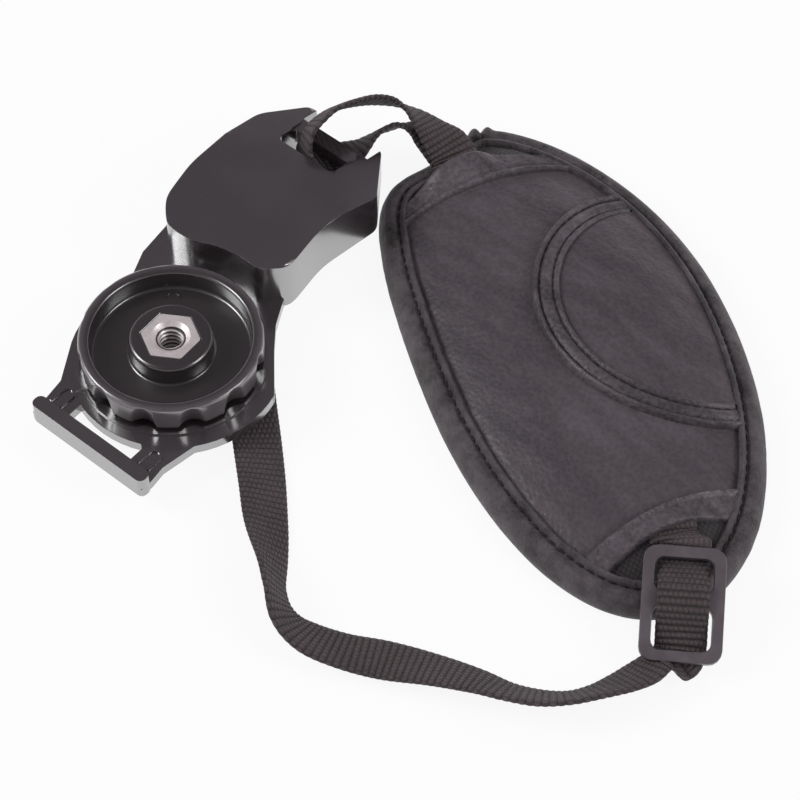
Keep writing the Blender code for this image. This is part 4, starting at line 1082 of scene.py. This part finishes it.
    def panel(self) -> bpy.types.Object:
        """Half-moon leather panel, crowned between its seams."""
        start = self.leaves_face(Rest.PANEL_RADIUS, -1)
        end = self.leaves_face(Rest.PANEL_RADIUS, 1)
        rows = []
        columns = 90
        for column in range(columns + 1):
            angle = start + (end - start) * column / columns
            x = Rest.PANEL_CENTRE[0] + Rest.PANEL_RADIUS * math.cos(angle)
            low = Rest.PANEL_CENTRE[1] + Rest.PANEL_RADIUS * math.sin(angle)
            high = Rest.half_width(x) + Rest.bend(x) + LIP_COVER
            rows.append([(x, low + (high - low) * row / 36) for row in range(37)])

        def crown(share: float) -> float:
            """Return the panel's height at a share across it."""
            return 0.30 + 0.55 * min(1.0, share * 7.0, (1.0 - share) * 9.0) ** 0.5
        return self.strip("half_moon_leather", rows, lambda y, share: 0.0, crown, self.finishes.leather)

    @staticmethod
    def leaves_face(radius: float, side: int) -> float:
        """Return the angle at which a circle about the panel's centre meets the binding."""
        angle = math.radians(270.0)
        for step in range(721):
            angle = math.radians(270.0 + side * step * 0.125)
            x = Rest.PANEL_CENTRE[0] + radius * math.cos(angle)
            y = Rest.PANEL_CENTRE[1] + radius * math.sin(angle)
            if y - Rest.bend(x) > Rest.half_width(x) + LIP_COVER:
                break
        return angle

    def trim(self) -> bpy.types.Object:
        """Folded band round the half moon, padded at its outer edge."""
        inner = Rest.PANEL_RADIUS - 0.2
        outer = Rest.PANEL_RADIUS + Rest.TRIM_WIDTH
        start = self.leaves_face(outer, -1)
        end = self.leaves_face(outer, 1)
        rows = []
        columns = 150
        for column in range(columns + 1):
            angle = start + (end - start) * column / columns
            rows.append([(Rest.PANEL_CENTRE[0] + radius * math.cos(angle),
                          Rest.PANEL_CENTRE[1] + radius * math.sin(angle))
                         for radius in (inner + (outer - inner) * step / 24 for step in range(25))])

        def folded(share: float) -> float:
            """Return the height of three ridges with a stitched groove between each two."""
            for start_share, end_share, height in ((0.0, 0.24, 1.05), (0.24, 0.76, 1.10), (0.76, 1.0, 1.45)):
                if share <= end_share:
                    within = (share - start_share) / (end_share - start_share)
                    return 0.35 + height * math.sin(math.pi * within) ** 0.55
            return 0.35
        return self.strip("trim_fold", rows, lambda y, share: 0.0, folded, self.finishes.trim_leather, 0.11)

    def band(self, name: str, span: tuple, curves: tuple, slant: float, layers: float,
             webbing_y: float, webbing_side: float) -> bpy.types.Object:
        """Leather band across the rest, humped where webbing enters under one of its edges.

        Args:
            name: the piece's name.
            span: where the band's two edges cross the rest's middle line.
            curves: how fast each edge bends, per metre.
            slant: how far the band leans.
            layers: layers of webbing under it.
            webbing_y: where the webbing enters.
            webbing_side: 0 or 1, the edge that the webbing enters under.

        Returns:
            The piece.
        """
        def edge(start: float, curve: float, y: float) -> Vector:
            """Return an edge's point at a distance from the middle line."""
            x = start + slant * y + curve * MM * y * y
            return Vector((x, y + Rest.bend(x)))

        def reach(start: float, curve: float, side: int) -> float:
            """Return where an edge meets the binding on one side."""
            far = Rest.HALF_WIDTH
            while far > Rest.half_width(edge(start, curve, side * far).x) + LIP_COVER:
                far -= 0.05
            return side * far

        height = layers * (WEBBING_THICKNESS + 3 * GAP)

        def lift(y: float, share: float) -> float:
            """Return the hump over the webbing."""
            away = abs(share - webbing_side)
            fade = 0.5 + 0.5 * math.cos(math.pi * min(1.0, away / 0.95))
            return height * fade * math.exp(-((y - webbing_y) / (0.72 * WEBBING_WIDTH)) ** 4)

        def folded(share: float) -> float:
            """Return the band's height, with its fold and the groove beside it."""
            away = abs(share - webbing_side)
            rise = min(1.0, away / 0.08, (1.0 - away) / 0.08)
            fold = math.exp(-((away - 0.90) / 0.07) ** 2)
            groove = math.exp(-((away - 0.74) / 0.06) ** 2)
            return 0.30 + 0.75 * math.sqrt(max(0.0, rise)) + 0.35 * fold - 0.25 * groove
        ends = [(reach(start, curve, -1), reach(start, curve, 1)) for start, curve in zip(span, curves)]
        rows = []
        for column in range(121):
            first, last = (edge(start, curve, low + (high - low) * column / 120)
                           for start, curve, (low, high) in zip(span, curves, ends))
            rows.append([tuple(first.lerp(last, step / 22)) for step in range(23)])
        return self.strip(name, rows, lift, folded, self.finishes.trim_leather, 0.09)


# Stitches


class StitchRow:
    """Geometry Nodes group that lays stitches along a line.

    Args:
        recipe: the thread's material.
    """

    def __init__(self, recipe: Recipe) -> None:
        """Keep the thread and build the group."""
        self.recipe = recipe
        self.group = bpy.data.node_groups.new("stitch row", "GeometryNodeTree")
        self.sockets = {}
        self._build()

    def _input(self, name: str, kind: str, default: Optional[float] = None) -> None:
        """Add a named input to the group and keep its identifier."""
        socket = self.group.interface.new_socket(name, in_out="INPUT", socket_type=kind)
        if default is not None:
            socket.default_value = default
        self.sockets[name] = socket.identifier

    def _build(self) -> None:
        """Build the group: points along the line, a ball of thread on each, made real and dressed."""
        group = self.group
        self._input("Line", "NodeSocketGeometry")
        self._input("Spacing", "NodeSocketFloat", 2.2 * MM)
        self._input("Length", "NodeSocketFloat", 0.75 * MM)
        self._input("Thickness", "NodeSocketFloat", 0.2 * MM)
        self._input("Thread", "NodeSocketMaterial")
        group.interface.new_socket("Stitches", in_out="OUTPUT", socket_type="NodeSocketGeometry")
        source = add_node(group, "NodeGroupInput").outputs
        line = add_node(group, "GeometryNodeMeshToCurve", inputs={0: source["Line"]})
        dots = add_node(group, "GeometryNodeCurveToPoints", {"mode": "LENGTH"},
                        {"Curve": line.outputs[0], "Length": source["Spacing"]})
        turn = add_node(group, "FunctionNodeAlignRotationToVector", {"axis": "X"},
                        {"Vector": dots.outputs["Tangent"]})
        ball = add_node(group, "GeometryNodeMeshUVSphere", inputs={"Segments": 10, "Rings": 7})
        size = add_node(group, "ShaderNodeCombineXYZ",
                        inputs={0: source["Length"], 1: source["Thickness"], 2: source["Thickness"]})
        copies = add_node(group, "GeometryNodeInstanceOnPoints", inputs={
            "Points": dots.outputs["Points"], "Instance": ball.outputs["Mesh"],
            "Rotation": turn.outputs[0], "Scale": size.outputs[0]})
        real = add_node(group, "GeometryNodeRealizeInstances", inputs={0: copies.outputs[0]})
        smooth = add_node(group, "GeometryNodeSetShadeSmooth", inputs={0: real.outputs[0]})
        dress = add_node(group, "GeometryNodeSetMaterial",
                         inputs={"Geometry": smooth.outputs[0], "Material": source["Thread"]})
        add_node(group, "NodeGroupOutput", inputs={0: dress.outputs[0]})

    def lay(self, name: str, lines: Sequence[Sequence[Vector]], builder: Builder, spacing: float,
            length: float, thickness: float) -> bpy.types.Object:
        """Lay stitches along rows of points, as one plain piece.

        Args:
            name: the piece's name.
            lines: rows of places in layout millimetres.
            builder: knows the layout.
            spacing: distance between stitches, in millimetres.
            length: length of a stitch.
            thickness: thickness of a stitch.

        Returns:
            The piece.
        """
        mesh = bpy.data.meshes.new(name)
        points = []
        edges = []
        for line in lines:
            first = len(points)
            points += [builder.layout.at(point) for point in line]
            edges += [(index, index + 1) for index in range(first, len(points) - 1)]
        mesh.from_pydata(points, edges, [])
        piece = bpy.data.objects.new(name, mesh)
        bpy.context.scene.collection.objects.link(piece)
        modifier = piece.modifiers.new("stitches", "NODES")
        modifier.node_group = self.group
        modifier[self.sockets["Spacing"]] = spacing * MM
        modifier[self.sockets["Length"]] = length * MM / 2
        modifier[self.sockets["Thickness"]] = thickness * MM / 2
        modifier[self.sockets["Thread"]] = self.recipe.material
        plain(piece)
        return piece


# Hard pieces


class ThreadedScrew:
    """Nickel screw: hex head with a threaded socket above, and a threaded stud below.

    Args:
        builder: makes the mesh.
        finish: the nickel.
    """
    PITCH = 1.27
    MAJOR = 3.12
    MINOR = 2.50
    SIDES = 96
    HEAD_HEIGHT = 4.0
    STUD_DROP = 8.8              # from the head's top to the stud's top
    ACROSS_FLATS = 11.1
    HEX_TURN = 32.0              # degrees
    SHANK = 4.15

    def __init__(self, builder: Builder, finish: Recipe) -> None:
        """Keep the mesh maker and the material."""
        self.builder = builder
        self.finish = finish

    def thread_radius(self, angle: float, z: float) -> float:
        """Return the thread's radius at an angle in turns and a height."""
        phase = (z / self.PITCH - angle) % 1.0
        return self.MINOR + (self.MAJOR - self.MINOR) * (1.0 - abs(2.0 * phase - 1.0))

    def turned(self, rings: Sequence[tuple], points: list, faces: list) -> None:
        """Add a tube through rings of radii, closed at its last ring.

        Args:
            rings: (height, radius) pairs; a radius may be a function of the angle in turns.
            points: grows by the tube's points.
            faces: grows by the tube's faces.
        """
        rows = []
        for z, radius in rings:
            rows.append(len(points))
            for side in range(self.SIDES):
                angle = side / self.SIDES
                reach = radius(angle) if callable(radius) else radius
                points.append((reach * math.cos(2 * math.pi * angle),
                               reach * math.sin(2 * math.pi * angle), z))
        for first, second in zip(rows, rows[1:]):
            for side in range(self.SIDES):
                after = (side + 1) % self.SIDES
                faces.append((first + side, first + after, second + after, second + side))
        faces.append(tuple(range(rows[-1], rows[-1] + self.SIDES)))

    def make(self, top: float, foot: float) -> bpy.types.Object:
        """Model the screw between two heights in millimetres."""
        head_foot = top - self.HEAD_HEIGHT
        stud_top = top - self.STUD_DROP
        corner = self.ACROSS_FLATS / 2 / math.cos(math.radians(30))
        turn = math.radians(self.HEX_TURN)

        def hexagon(angle: float, bite: float) -> float:
            """Return the radius of a hexagon whose corners are turned down to a circle."""
            away = (2 * math.pi * angle - turn) % (math.pi / 3) - math.pi / 6
            return min(self.ACROSS_FLATS / 2 / math.cos(away), corner - bite)

        def spiral(high: float, low: float, count: int, most: Callable) -> list:
            """Return rows down a thread, no wider than most allows."""
            levels = [high - (high - low) * index / count for index in range(count + 1)]
            return [(z, lambda angle, z=z: min(self.thread_radius(angle, z), most(z))) for z in levels]
        rings = [(stud_top - 0.1, 2.4), (stud_top - 0.1, self.SHANK), (head_foot, self.SHANK)]
        rings += [(z, lambda angle, bite=bite: hexagon(angle, bite)) for z, bite in
                  ((head_foot, 0.6), (top - 0.12, 0.0), (top - 0.03, 0.05), (top, 0.14))]
        rings += [(top, 4.15), (top - 0.12, 4.0), (top - 0.85, 3.2)]
        rings += spiral(top - 0.9, top - 7.2, 80, lambda z: 3.2)
        points = []
        faces = []
        self.turned(rings, points, faces)
        faces.append(tuple(range(self.SIDES)))
        stud = spiral(stud_top, foot, 70, lambda z: min(self.MAJOR - 0.05, 2.35 + max(0.0, z - foot)))
        self.turned(stud, points, faces)
        return self.builder.mesh("threaded_screw", points, faces, [self.finish], smooth=28.0)


@dataclass(frozen=True)
class ScoopedKnob:
    """Dished turning knob with finger scoops round its skirt; sizes in millimetres.

    Args:
        foot: height of the knob's underside over the table.
        height: height of the knob.
        radius: outer radius of the skirt.
        wall: width of the rim.
        floor: thickness of the dish's floor.
        boss: radius of the boss round the insert.
        bore: radius of the hole for the screw's shank.
        pocket: half width of the insert's pocket across its flats.
        pocket_depth: depth of that pocket.
        scoop: radius of a scoop.
        scoop_place: distance of a scoop's axis at scoop_level.
        scoop_level: height where scoop_place is measured.
        scoop_lean: lean of the scoops in degrees.
    """
    foot: float = 8.6
    height: float = 6.2
    radius: float = 19.6
    wall: float = 2.5
    floor: float = 1.3
    boss: float = 8.95
    bore: float = 4.5
    pocket: float = 5.65
    pocket_depth: float = 4.3
    scoop: float = 3.3
    scoop_place: float = 21.4
    scoop_level: float = 1.55
    scoop_lean: float = 16.0
    SCOOPS = 12
    FIRST_SCOOP = 55.0
    HEX_TURN = 32.0
    COLUMNS = 360
    BLEND = 0.35
    MARK = (-9.37, 10.44)

    def skirt(self, angle: float, level: float, limit: float) -> float:
        """Return the radius at an angle and height, where a scoop may bite below a limit."""
        step = 2 * math.pi / self.SCOOPS
        away = (angle - math.radians(self.FIRST_SCOOP) + step / 2) % step - step / 2
        centre = self.scoop_place + (level - self.scoop_level) * math.tan(math.radians(self.scoop_lean))
        inside = self.scoop ** 2 - (centre * math.sin(away)) ** 2
        if inside <= 0.0:
            return limit
        bitten = centre * math.cos(away) - math.sqrt(inside)
        near = max(0.0, self.BLEND - abs(bitten - limit)) / self.BLEND
        return min(bitten, limit) - near * near * self.BLEND / 4

    def hexagon(self, angle: float, grow: float) -> float:
        """Return the radius of the insert's pocket at an angle."""
        away = (angle - math.radians(self.HEX_TURN)) % (math.pi / 3) - math.pi / 6
        return (self.pocket + grow) / math.cos(away)

    def rows(self) -> list:
        """Return (kind, radius, height) rows from the bore over the top to the underside."""
        def corner(radius: float, level: float, size: float, start: float, steps: int = 5) -> list:
            """Return rows round a quarter circle that starts at an angle in degrees."""
            angles = [math.radians(start + 90 * step / steps) for step in range(steps + 1)]
            return [("round", radius + size * math.cos(angle), level + size * math.sin(angle))
                    for angle in angles]
        top = self.height
        inner = self.radius - self.wall
        rows = [("round", self.bore, 0.0), ("round", self.bore, top - self.pocket_depth),
                ("hex", 0.0, top - self.pocket_depth), ("hex", 0.0, top - 0.15), ("hex", 0.15, top)]
        rows += list(reversed(corner(self.boss - 1.0, top - 1.0, 1.0, 0)))
        rows += corner(self.boss + 0.7, self.floor + 0.7, 0.7, 180)
        rows += corner(inner - 0.9, self.floor + 0.9, 0.9, 270)
        rows += list(reversed(corner(inner + 0.8, top - 0.8, 0.8, 90)))
        rows += [("skirt", radius, level) for _, radius, level
                 in reversed(corner(self.radius - 0.8, top - 0.8, 0.8, 0))]
        rows += [("skirt", self.radius, 0.6 + (top - 1.4 - 0.6) * share / 8) for share in range(7, -1, -1)]
        rows += [("skirt", self.radius - 0.12, 0.28), ("skirt", self.radius - 0.5, 0.0)]
        return rows

    def make(self, builder: Builder, finish: Recipe) -> bpy.types.Object:
        """Model the knob."""
        points = []
        rows = self.rows()
        for kind, size, level in rows:
            for column in range(self.COLUMNS):
                angle = 2 * math.pi * column / self.COLUMNS
                reach = {"round": lambda: size, "hex": lambda: self.hexagon(angle, size),
                         "skirt": lambda: self.skirt(angle, level, size)}[kind]()
                points.append((reach * math.cos(angle), reach * math.sin(angle), self.foot + level))
        faces = []
        for row in range(len(rows)):
            following = (row + 1) % len(rows)
            for column in range(self.COLUMNS):
                after = (column + 1) % self.COLUMNS
                faces.append((row * self.COLUMNS + column, row * self.COLUMNS + after,
                              following * self.COLUMNS + after, following * self.COLUMNS + column))
        self.mark(points, faces)
        return builder.mesh("scooped_knob", points, faces, [finish], smooth=40.0)

    def mark(self, points: list, faces: list) -> None:
        """Add the small half-round rib on the dish's floor."""
        middle = Vector(self.MARK)
        outward = middle.normalized()
        aside = Vector((-outward.y, outward.x))
        steps = 14
        first = len(points)
        for step in range(steps + 1):
            angle = math.pi * step / steps
            for reach, level in ((1.75, -0.1), (1.65, 0.22), (1.35, 0.22), (1.25, -0.1)):
                place = middle + (outward * math.sin(angle) + aside * math.cos(angle)) * reach
                points.append((place.x, place.y, self.foot + self.floor + level))
        for step in range(steps):
            row = first + 4 * step
            faces += [(row + side, row + (side + 1) % 4, row + 4 + (side + 1) % 4, row + 4 + side)
                      for side in range(4)]
        last = first + 4 * steps
        faces += [tuple(range(first, first + 4)), tuple(range(last + 3, last - 1, -1))]


@dataclass(frozen=True)
class Rounding:
    """Rounds the edges of a copy of a CAD moulding; sizes in millimetres.

    Args:
        edge: width of the rounding on sharp edges.
        level: height of the cut whose outline is drawn smooth, 0 for none.
    """
    edge: float
    level: float
    SHARP = 32.0
    SPREAD = 1.5
    NEAR = 1.2
    FAR = 3.2
    STEP = 0.6
    FADE = (50.5, 54.0)

    def outline(self, shape: bmesh.types.BMesh) -> list:
        """Return the longest outline of the shape at the cut's height.

        Its edges are walked by their numbers, because a set's order changes from run to run.

        Args:
            shape: the mesh, which is left as it is.

        Returns:
            The outline's places, in metres.
        """
        cut = shape.copy()
        made = bmesh.ops.bisect_plane(cut, geom=[*cut.verts, *cut.edges, *cut.faces], dist=1e-7,
                                      plane_co=(0.0, 0.0, self.level * MM), plane_no=(0.0, 0.0, 1.0))
        cut.edges.index_update()
        edges = {edge.index: edge for edge in made["geom_cut"] if isinstance(edge, bmesh.types.BMEdge)}
        loops = []
        while edges:
            edge = edges.pop(min(edges))
            corner = edge.verts[1]
            loop = [edge.verts[0].co.xy.copy(), corner.co.xy.copy()]
            while True:
                following = next((other for other in corner.link_edges if other.index in edges), None)
                if following is None:
                    break
                edges.pop(following.index)
                corner = following.other_vert(corner)
                loop.append(corner.co.xy.copy())
            loops.append(loop)
        cut.free()
        return max(loops, key=lambda loop: sum((b - a).length for a, b in zip(loop, loop[1:])))

    def shifts(self, outline: list, layout: Layout) -> tuple:
        """Return places along an outline and how far each moves when it is drawn smooth."""
        spacing = 0.3 * MM
        places = [place for place, _, _ in resample([point.to_3d() for point in outline], spacing)]
        reach = int(3 * self.SPREAD * MM / spacing)
        weights = [math.exp(-(step * spacing / (self.SPREAD * MM)) ** 2 / 2)
                   for step in range(-reach, reach + 1)]
        moves = []
        for index, place in enumerate(places):
            near = [places[(index + step) % len(places)] for step in range(-reach, reach + 1)]
            mean = sum((weight * other for weight, other in zip(weights, near)), Vector()) / sum(weights)
            start, end = self.FADE
            depth = (place.y - layout.y) / MM
            moves.append((mean - place) * min(1.0, max(0.0, (end - depth) / (end - start))))
        return places, moves

    def relax(self, mesh: bpy.types.Mesh, layout: Layout) -> None:
        """Draw the outline of the walls smooth."""
        shape = bmesh.new()
        shape.from_mesh(mesh)
        places, moves = self.shifts(self.outline(shape), layout)
        tree = KDTree(len(places))
        for index, place in enumerate(places):
            tree.insert(place, index)
        tree.balance()

        def nearest(point: Vector) -> tuple:
            """Return the number of the nearest outline place and its distance in millimetres."""
            _, index, distance = tree.find((point.x, point.y, 0.0))
            return index, distance / MM
        for edge in list(shape.edges):
            span = edge.verts[1].co - edge.verts[0].co
            level = abs(span.z) < 0.3 * span.length
            if level and all(nearest(corner.co)[1] < self.NEAR for corner in edge.verts):
                far = edge.verts[1]
                for left in range(int(span.length / (self.STEP * MM)), 0, -1):
                    _, corner = bmesh.utils.edge_split(edge, edge.other_vert(far), 1.0 / (left + 1))
                    edge = next(other for other in corner.link_edges if far in other.verts)
        bmesh.ops.triangulate(shape, faces=shape.faces)
        for corner in shape.verts:
            index, distance = nearest(corner.co)
            share = min(1.0, max(0.0, (self.FAR - distance) / (self.FAR - self.NEAR)))
            corner.co += moves[index] * share
        shape.to_mesh(mesh)
        shape.free()

    def copy(self, node: bpy.types.Object, name: str, finish: Recipe, layout: Layout) -> bpy.types.Object:
        """Copy a node's mesh, merge it and round its edges.

        Args:
            node: the CAD node.
            name: the piece's name.
            finish: the material.
            layout: where the screw axis is.

        Returns:
            The piece.
        """
        mesh = node.data.copy()
        mesh.name = name
        shape = bmesh.new()
        shape.from_mesh(mesh)
        bmesh.ops.remove_doubles(shape, verts=shape.verts, dist=0.002 * MM)
        bmesh.ops.dissolve_limit(shape, angle_limit=math.radians(1.0), verts=shape.verts,
                                 edges=shape.edges)
        shape.to_mesh(mesh)
        shape.free()
        mesh.materials.clear()
        mesh.materials.append(finish.material)
        piece = bpy.data.objects.new(name, mesh)
        bpy.context.scene.collection.objects.link(piece)
        edges = piece.modifiers.new("edges", "BEVEL")
        edges.limit_method = "ANGLE"
        edges.angle_limit = math.radians(self.SHARP)
        edges.width = self.edge * MM
        edges.segments = 3
        plain(piece)
        if self.level:
            self.relax(piece.data, layout)
        piece.data.shade_smooth()
        piece.modifiers.new("flats", "WEIGHTED_NORMAL")
        plain(piece)
        return piece


# Stage


class Studio:
    """Camera, light and floor.

    Args:
        layout: where the screw axis is.
    """

    def __init__(self, layout: Layout) -> None:
        """Keep the layout."""
        self.layout = layout

    def camera(self) -> None:
        """Put the camera where the photograph was taken from."""
        heading = math.radians(CAMERA_HEADING)
        fall = math.radians(CAMERA_ELEVATION)
        right = Vector((math.cos(heading), math.sin(heading), 0.0))
        level = Vector((-math.sin(heading), math.cos(heading), 0.0))
        forward = level * math.cos(fall) - Vector((0.0, 0.0, math.sin(fall)))
        up = right.cross(forward)
        data = bpy.data.cameras.new("camera")
        data.sensor_width = SENSOR_WIDTH
        data.lens = SENSOR_WIDTH * FOCAL_PIXELS / IMAGE_WIDTH
        data.clip_start = 0.05
        data.clip_end = 20.0
        camera = bpy.data.objects.new("camera", data)
        turn = Matrix((right, up, -forward)).transposed().to_4x4()
        place = self.layout.at(LOOK_AT) - forward * CAMERA_DISTANCE * MM
        camera.matrix_world = Matrix.Translation(place) @ turn
        bpy.context.scene.collection.objects.link(camera)
        bpy.context.scene.camera = camera

    @staticmethod
    def lamp(name: str, place: Sequence[float], size: float, power: float) -> None:
        """Add a soft square lamp that points at the object.

        Args:
            name: the lamp's name.
            place: where it stands, in metres.
            size: length of its sides, in metres.
            power: its power, in watts.
        """
        data = bpy.data.lights.new(name, "AREA")
        data.size = size
        data.energy = power
        lamp = bpy.data.objects.new(name, data)
        lamp.location = place
        lamp.rotation_euler = (-Vector(place)).to_track_quat("-Z", "Y").to_euler()
        bpy.context.scene.collection.objects.link(lamp)

    def lights(self) -> None:
        """Light tent: a bright horizon and floor, a dimmer ceiling, and two soft lamps."""
        self.lamp("key", (-0.62, -0.50, 0.62), 0.40, 3.9)
        self.lamp("fill", (0.80, 0.30, 0.55), 0.45, 2.8)
        world = bpy.data.worlds.new("studio")
        bpy.context.scene.world = world
        world.use_nodes = True
        tree = world.node_tree
        background = tree.nodes["Background"]
        places = add_node(tree, "ShaderNodeTexCoord")
        height = split_vector(tree, places.outputs["Generated"])[2]
        path = add_node(tree, "ShaderNodeLightPath")
        seen = Value(tree, path.outputs["Is Camera Ray"])
        mirrored = Value(tree, path.outputs["Is Glossy Ray"])
        ceiling = height.spread(0.03, 0.40, 1.0, 0.10)
        lit = (1.0 - seen) * (1.0 - mirrored) * 0.55
        strength = seen + mirrored * ceiling + lit
        tree.links.new(strength.socket, background.inputs["Strength"])
        tint = mix_colours(tree, seen, (1.0, 0.91, 0.98), (1.0, 1.0, 1.0))
        tree.links.new(tint, background.inputs["Color"])

    def floor(self) -> None:
        """Pale table that keeps the object's soft shadow; its glow is dimmed under the hollow block, a
        painted shadow.
        """
        mesh = bpy.data.meshes.new("floor")
        reach = FLOOR_REACH
        mesh.from_pydata([(-reach, -reach, 0), (reach, -reach, 0), (reach, reach, 0), (-reach, reach, 0)],
                         [], [(0, 1, 2, 3)])
        floor = bpy.data.objects.new("floor", mesh)
        material = bpy.data.materials.new("floor")
        material.use_nodes = True
        tree = material.node_tree
        shader = tree.nodes["Principled BSDF"]
        shader.inputs["Base Color"].default_value = FLOOR_COLOUR
        shader.inputs["Roughness"].default_value = 0.9
        shader.inputs["Specular IOR Level"].default_value = 0.1
        path = add_node(tree, "ShaderNodeLightPath")
        seen = Value(tree, path.outputs["Is Camera Ray"])
        mirrored = Value(tree, path.outputs["Is Glossy Ray"])
        through = Value(tree, path.outputs["Is Transmission Ray"])
        places = add_node(tree, "ShaderNodeTexCoord")
        x, y, _ = split_vector(tree, places.outputs["Object"])
        hollow = self.layout.at(PAINTED_SHADOW_MIDDLE)
        away = ((x - hollow.x) ** 2.0 + (y - hollow.y) ** 2.0) ** 0.5
        near, far = PAINTED_SHADOW_FADE
        # painted shadow: the glow is dimmed within a soft disc under the block
        share = (seen * FLOOR_GLOW + mirrored.larger(through) * FLOOR_GLOW) * away.spread(near * MM, far * MM)
        glow = add_node(tree, "ShaderNodeEmission", inputs={"Strength": 1.0})
        mix = add_node(tree, "ShaderNodeMixShader", inputs={
            0: share.smaller(1.0), 1: shader.outputs[0], 2: glow.outputs[0]})
        tree.links.new(mix.outputs[0], tree.nodes["Material Output"].inputs["Surface"])
        mesh.materials.append(material)
        bpy.context.scene.collection.objects.link(floor)


# Assembly


class GripStrap:
    """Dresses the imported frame.
    """

    def __init__(self, frame: dict) -> None:
        """Read the layout and make the materials."""
        self.frame = frame
        self.layout = Layout.from_screw()
        self.builder = Builder(self.layout)
        self.studio = Studio(self.layout)
        self.finishes = Finishes(self.layout)

    def dress(self, node: str, recipe: Recipe) -> None:
        """Give a CAD node its material."""
        mesh = self.frame["nodes"][node].data
        mesh.materials.clear()
        mesh.materials.append(recipe.material)

    @staticmethod
    def mount(piece: bpy.types.Object, body: Body, slot: Slot, *nodes: str) -> None:
        """Let a piece ride on a body in place of some CAD nodes."""
        LOG.info("%s rides on %s", piece.name, body.value)
        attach(piece, body.value)
        if nodes:
            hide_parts(*nodes)

    def cords(self) -> None:
        """Model both lengths of webbing."""
        webbing = Webbing(self.builder, self.finishes.webbing)
        over, under = loop_route().split(LOOP_TURN)
        sewn_end = webbing.make("loop_webbing_return", under)
        self.mount(sewn_end, Body.GRIP, Slot.WEBBING, "strap_loop")
        for name, node, route, far, sewn in (
                ("loop_webbing", "strap_loop", over, "object", [sewn_end]),
                ("tail_webbing", "strap_tail", tail_route(), "bare", [])):
            piece = webbing.make(name, route)
            self.mount(piece, Body.GRIP, Slot.WEBBING, node)
            path = [self.layout.at(centre) for centre, _ in route.curve(3)]
            LOG.info("%s is %.1f mm long", name, route.length())
            round(route.length() * MM, 4)

    def rest(self) -> None:
        """Model the hand rest."""
        rest = HandRest(self.builder, self.finishes)
        cushion = rest.cushion()
        self.mount(cushion, Body.GRIP, Slot.LEATHER, "leather_face", "pad_foam", "pad_lining")
        self.mount(rest.binding(), Body.GRIP, Slot.SUEDE, "edge_binding")
        self.mount(rest.panel(), Body.GRIP, Slot.LEATHER, "half_moon_panel")
        self.mount(rest.trim(), Body.GRIP, Slot.LEATHER, "trim_band")
        top = rest.band("top_band_fold", (-54.2, -46.6), (15.0, 6.5), -0.08, 1.6, LOOP_Y, 0.0)
        self.mount(top, Body.GRIP, Slot.LEATHER, "top_band")
        bottom = rest.band("bottom_band_fold", (46.8, 52.3), (8.5, 16.0), -0.21, 0.5, TAIL_Y, 1.0)
        self.mount(bottom, Body.GRIP, Slot.LEATHER, "bottom_band")
        self.stitches()

    def stitches(self) -> None:
        """Sew the binding and the half moon's trim."""
        row = StitchRow(self.finishes.thread)
        rim = []
        for step in range(361):
            angle = 2 * math.pi * step / 360
            flat = Rest.inset(angle, 4.4)
            rim.append(Rest.place(flat.x, flat.y, 4.12 + Rest.dome(flat.x, flat.y)))
        binding = row.lay("binding_stitches", [rim], self.builder, 2.5, 1.8, 0.52)
        self.mount(binding, Body.GRIP, Slot.WEBBING)
        lines = []
        for share in (0.24, 0.76):
            radius = Rest.PANEL_RADIUS - 0.2 + (Rest.TRIM_WIDTH + 0.2) * share
            start = HandRest.leaves_face(radius, -1)
            end = HandRest.leaves_face(radius, 1)
            line = []
            for step in range(121):
                angle = start + (end - start) * step / 120
                line.append(Rest.on_face(Rest.PANEL_CENTRE[0] + radius * math.cos(angle),
                                         Rest.PANEL_CENTRE[1] + radius * math.sin(angle), 0.72))
            lines.append(line)
        trim = row.lay("trim_stitches", lines, self.builder, 2.3, 1.7, 0.46)
        self.mount(trim, Body.GRIP, Slot.WEBBING)

    def hard_parts(self) -> None:
        """Finish the moulded, rubber and metal parts."""
        finishes = self.finishes
        for node, recipe in (("rubber_pad", finishes.rubber), ("knob_washer", finishes.nylon),
                             ("retaining_clip", finishes.steel)):
            self.dress(node, recipe)
        for name, node, recipe, rounding in (
                ("moulded_plate", "base_plate", finishes.plastic, Rounding(0.30, 9.0)),
                ("ladder_slider", "slider", finishes.slider, Rounding(0.22, 0.0))):
            piece = rounding.copy(self.frame["nodes"][node], name, recipe, self.layout)
            self.mount(piece, Body.GRIP, recipe.slot, node)
        knob = ScoopedKnob().make(self.builder, finishes.knob)
        self.mount(knob, Body.KNOB, Slot.KNOB_PLASTIC, "knob")
        low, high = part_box("tripod_screw")
        screw = ThreadedScrew(self.builder, finishes.nickel).make(high[2] / MM, low[2] / MM)
        self.mount(screw, Body.KNOB, Slot.NICKEL, "tripod_screw")


def main() -> None:
    """Build the whole scene."""
    logging.basicConfig(level=logging.INFO)
    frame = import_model()
    bpy.context.scene.view_settings.view_transform = "Standard"
    grip = GripStrap(frame)
    grip.studio.camera()
    grip.cords()
    grip.rest()
    grip.hard_parts()
    grip.studio.lights()
    grip.studio.floor()


if __name__ == "__main__":
    main()
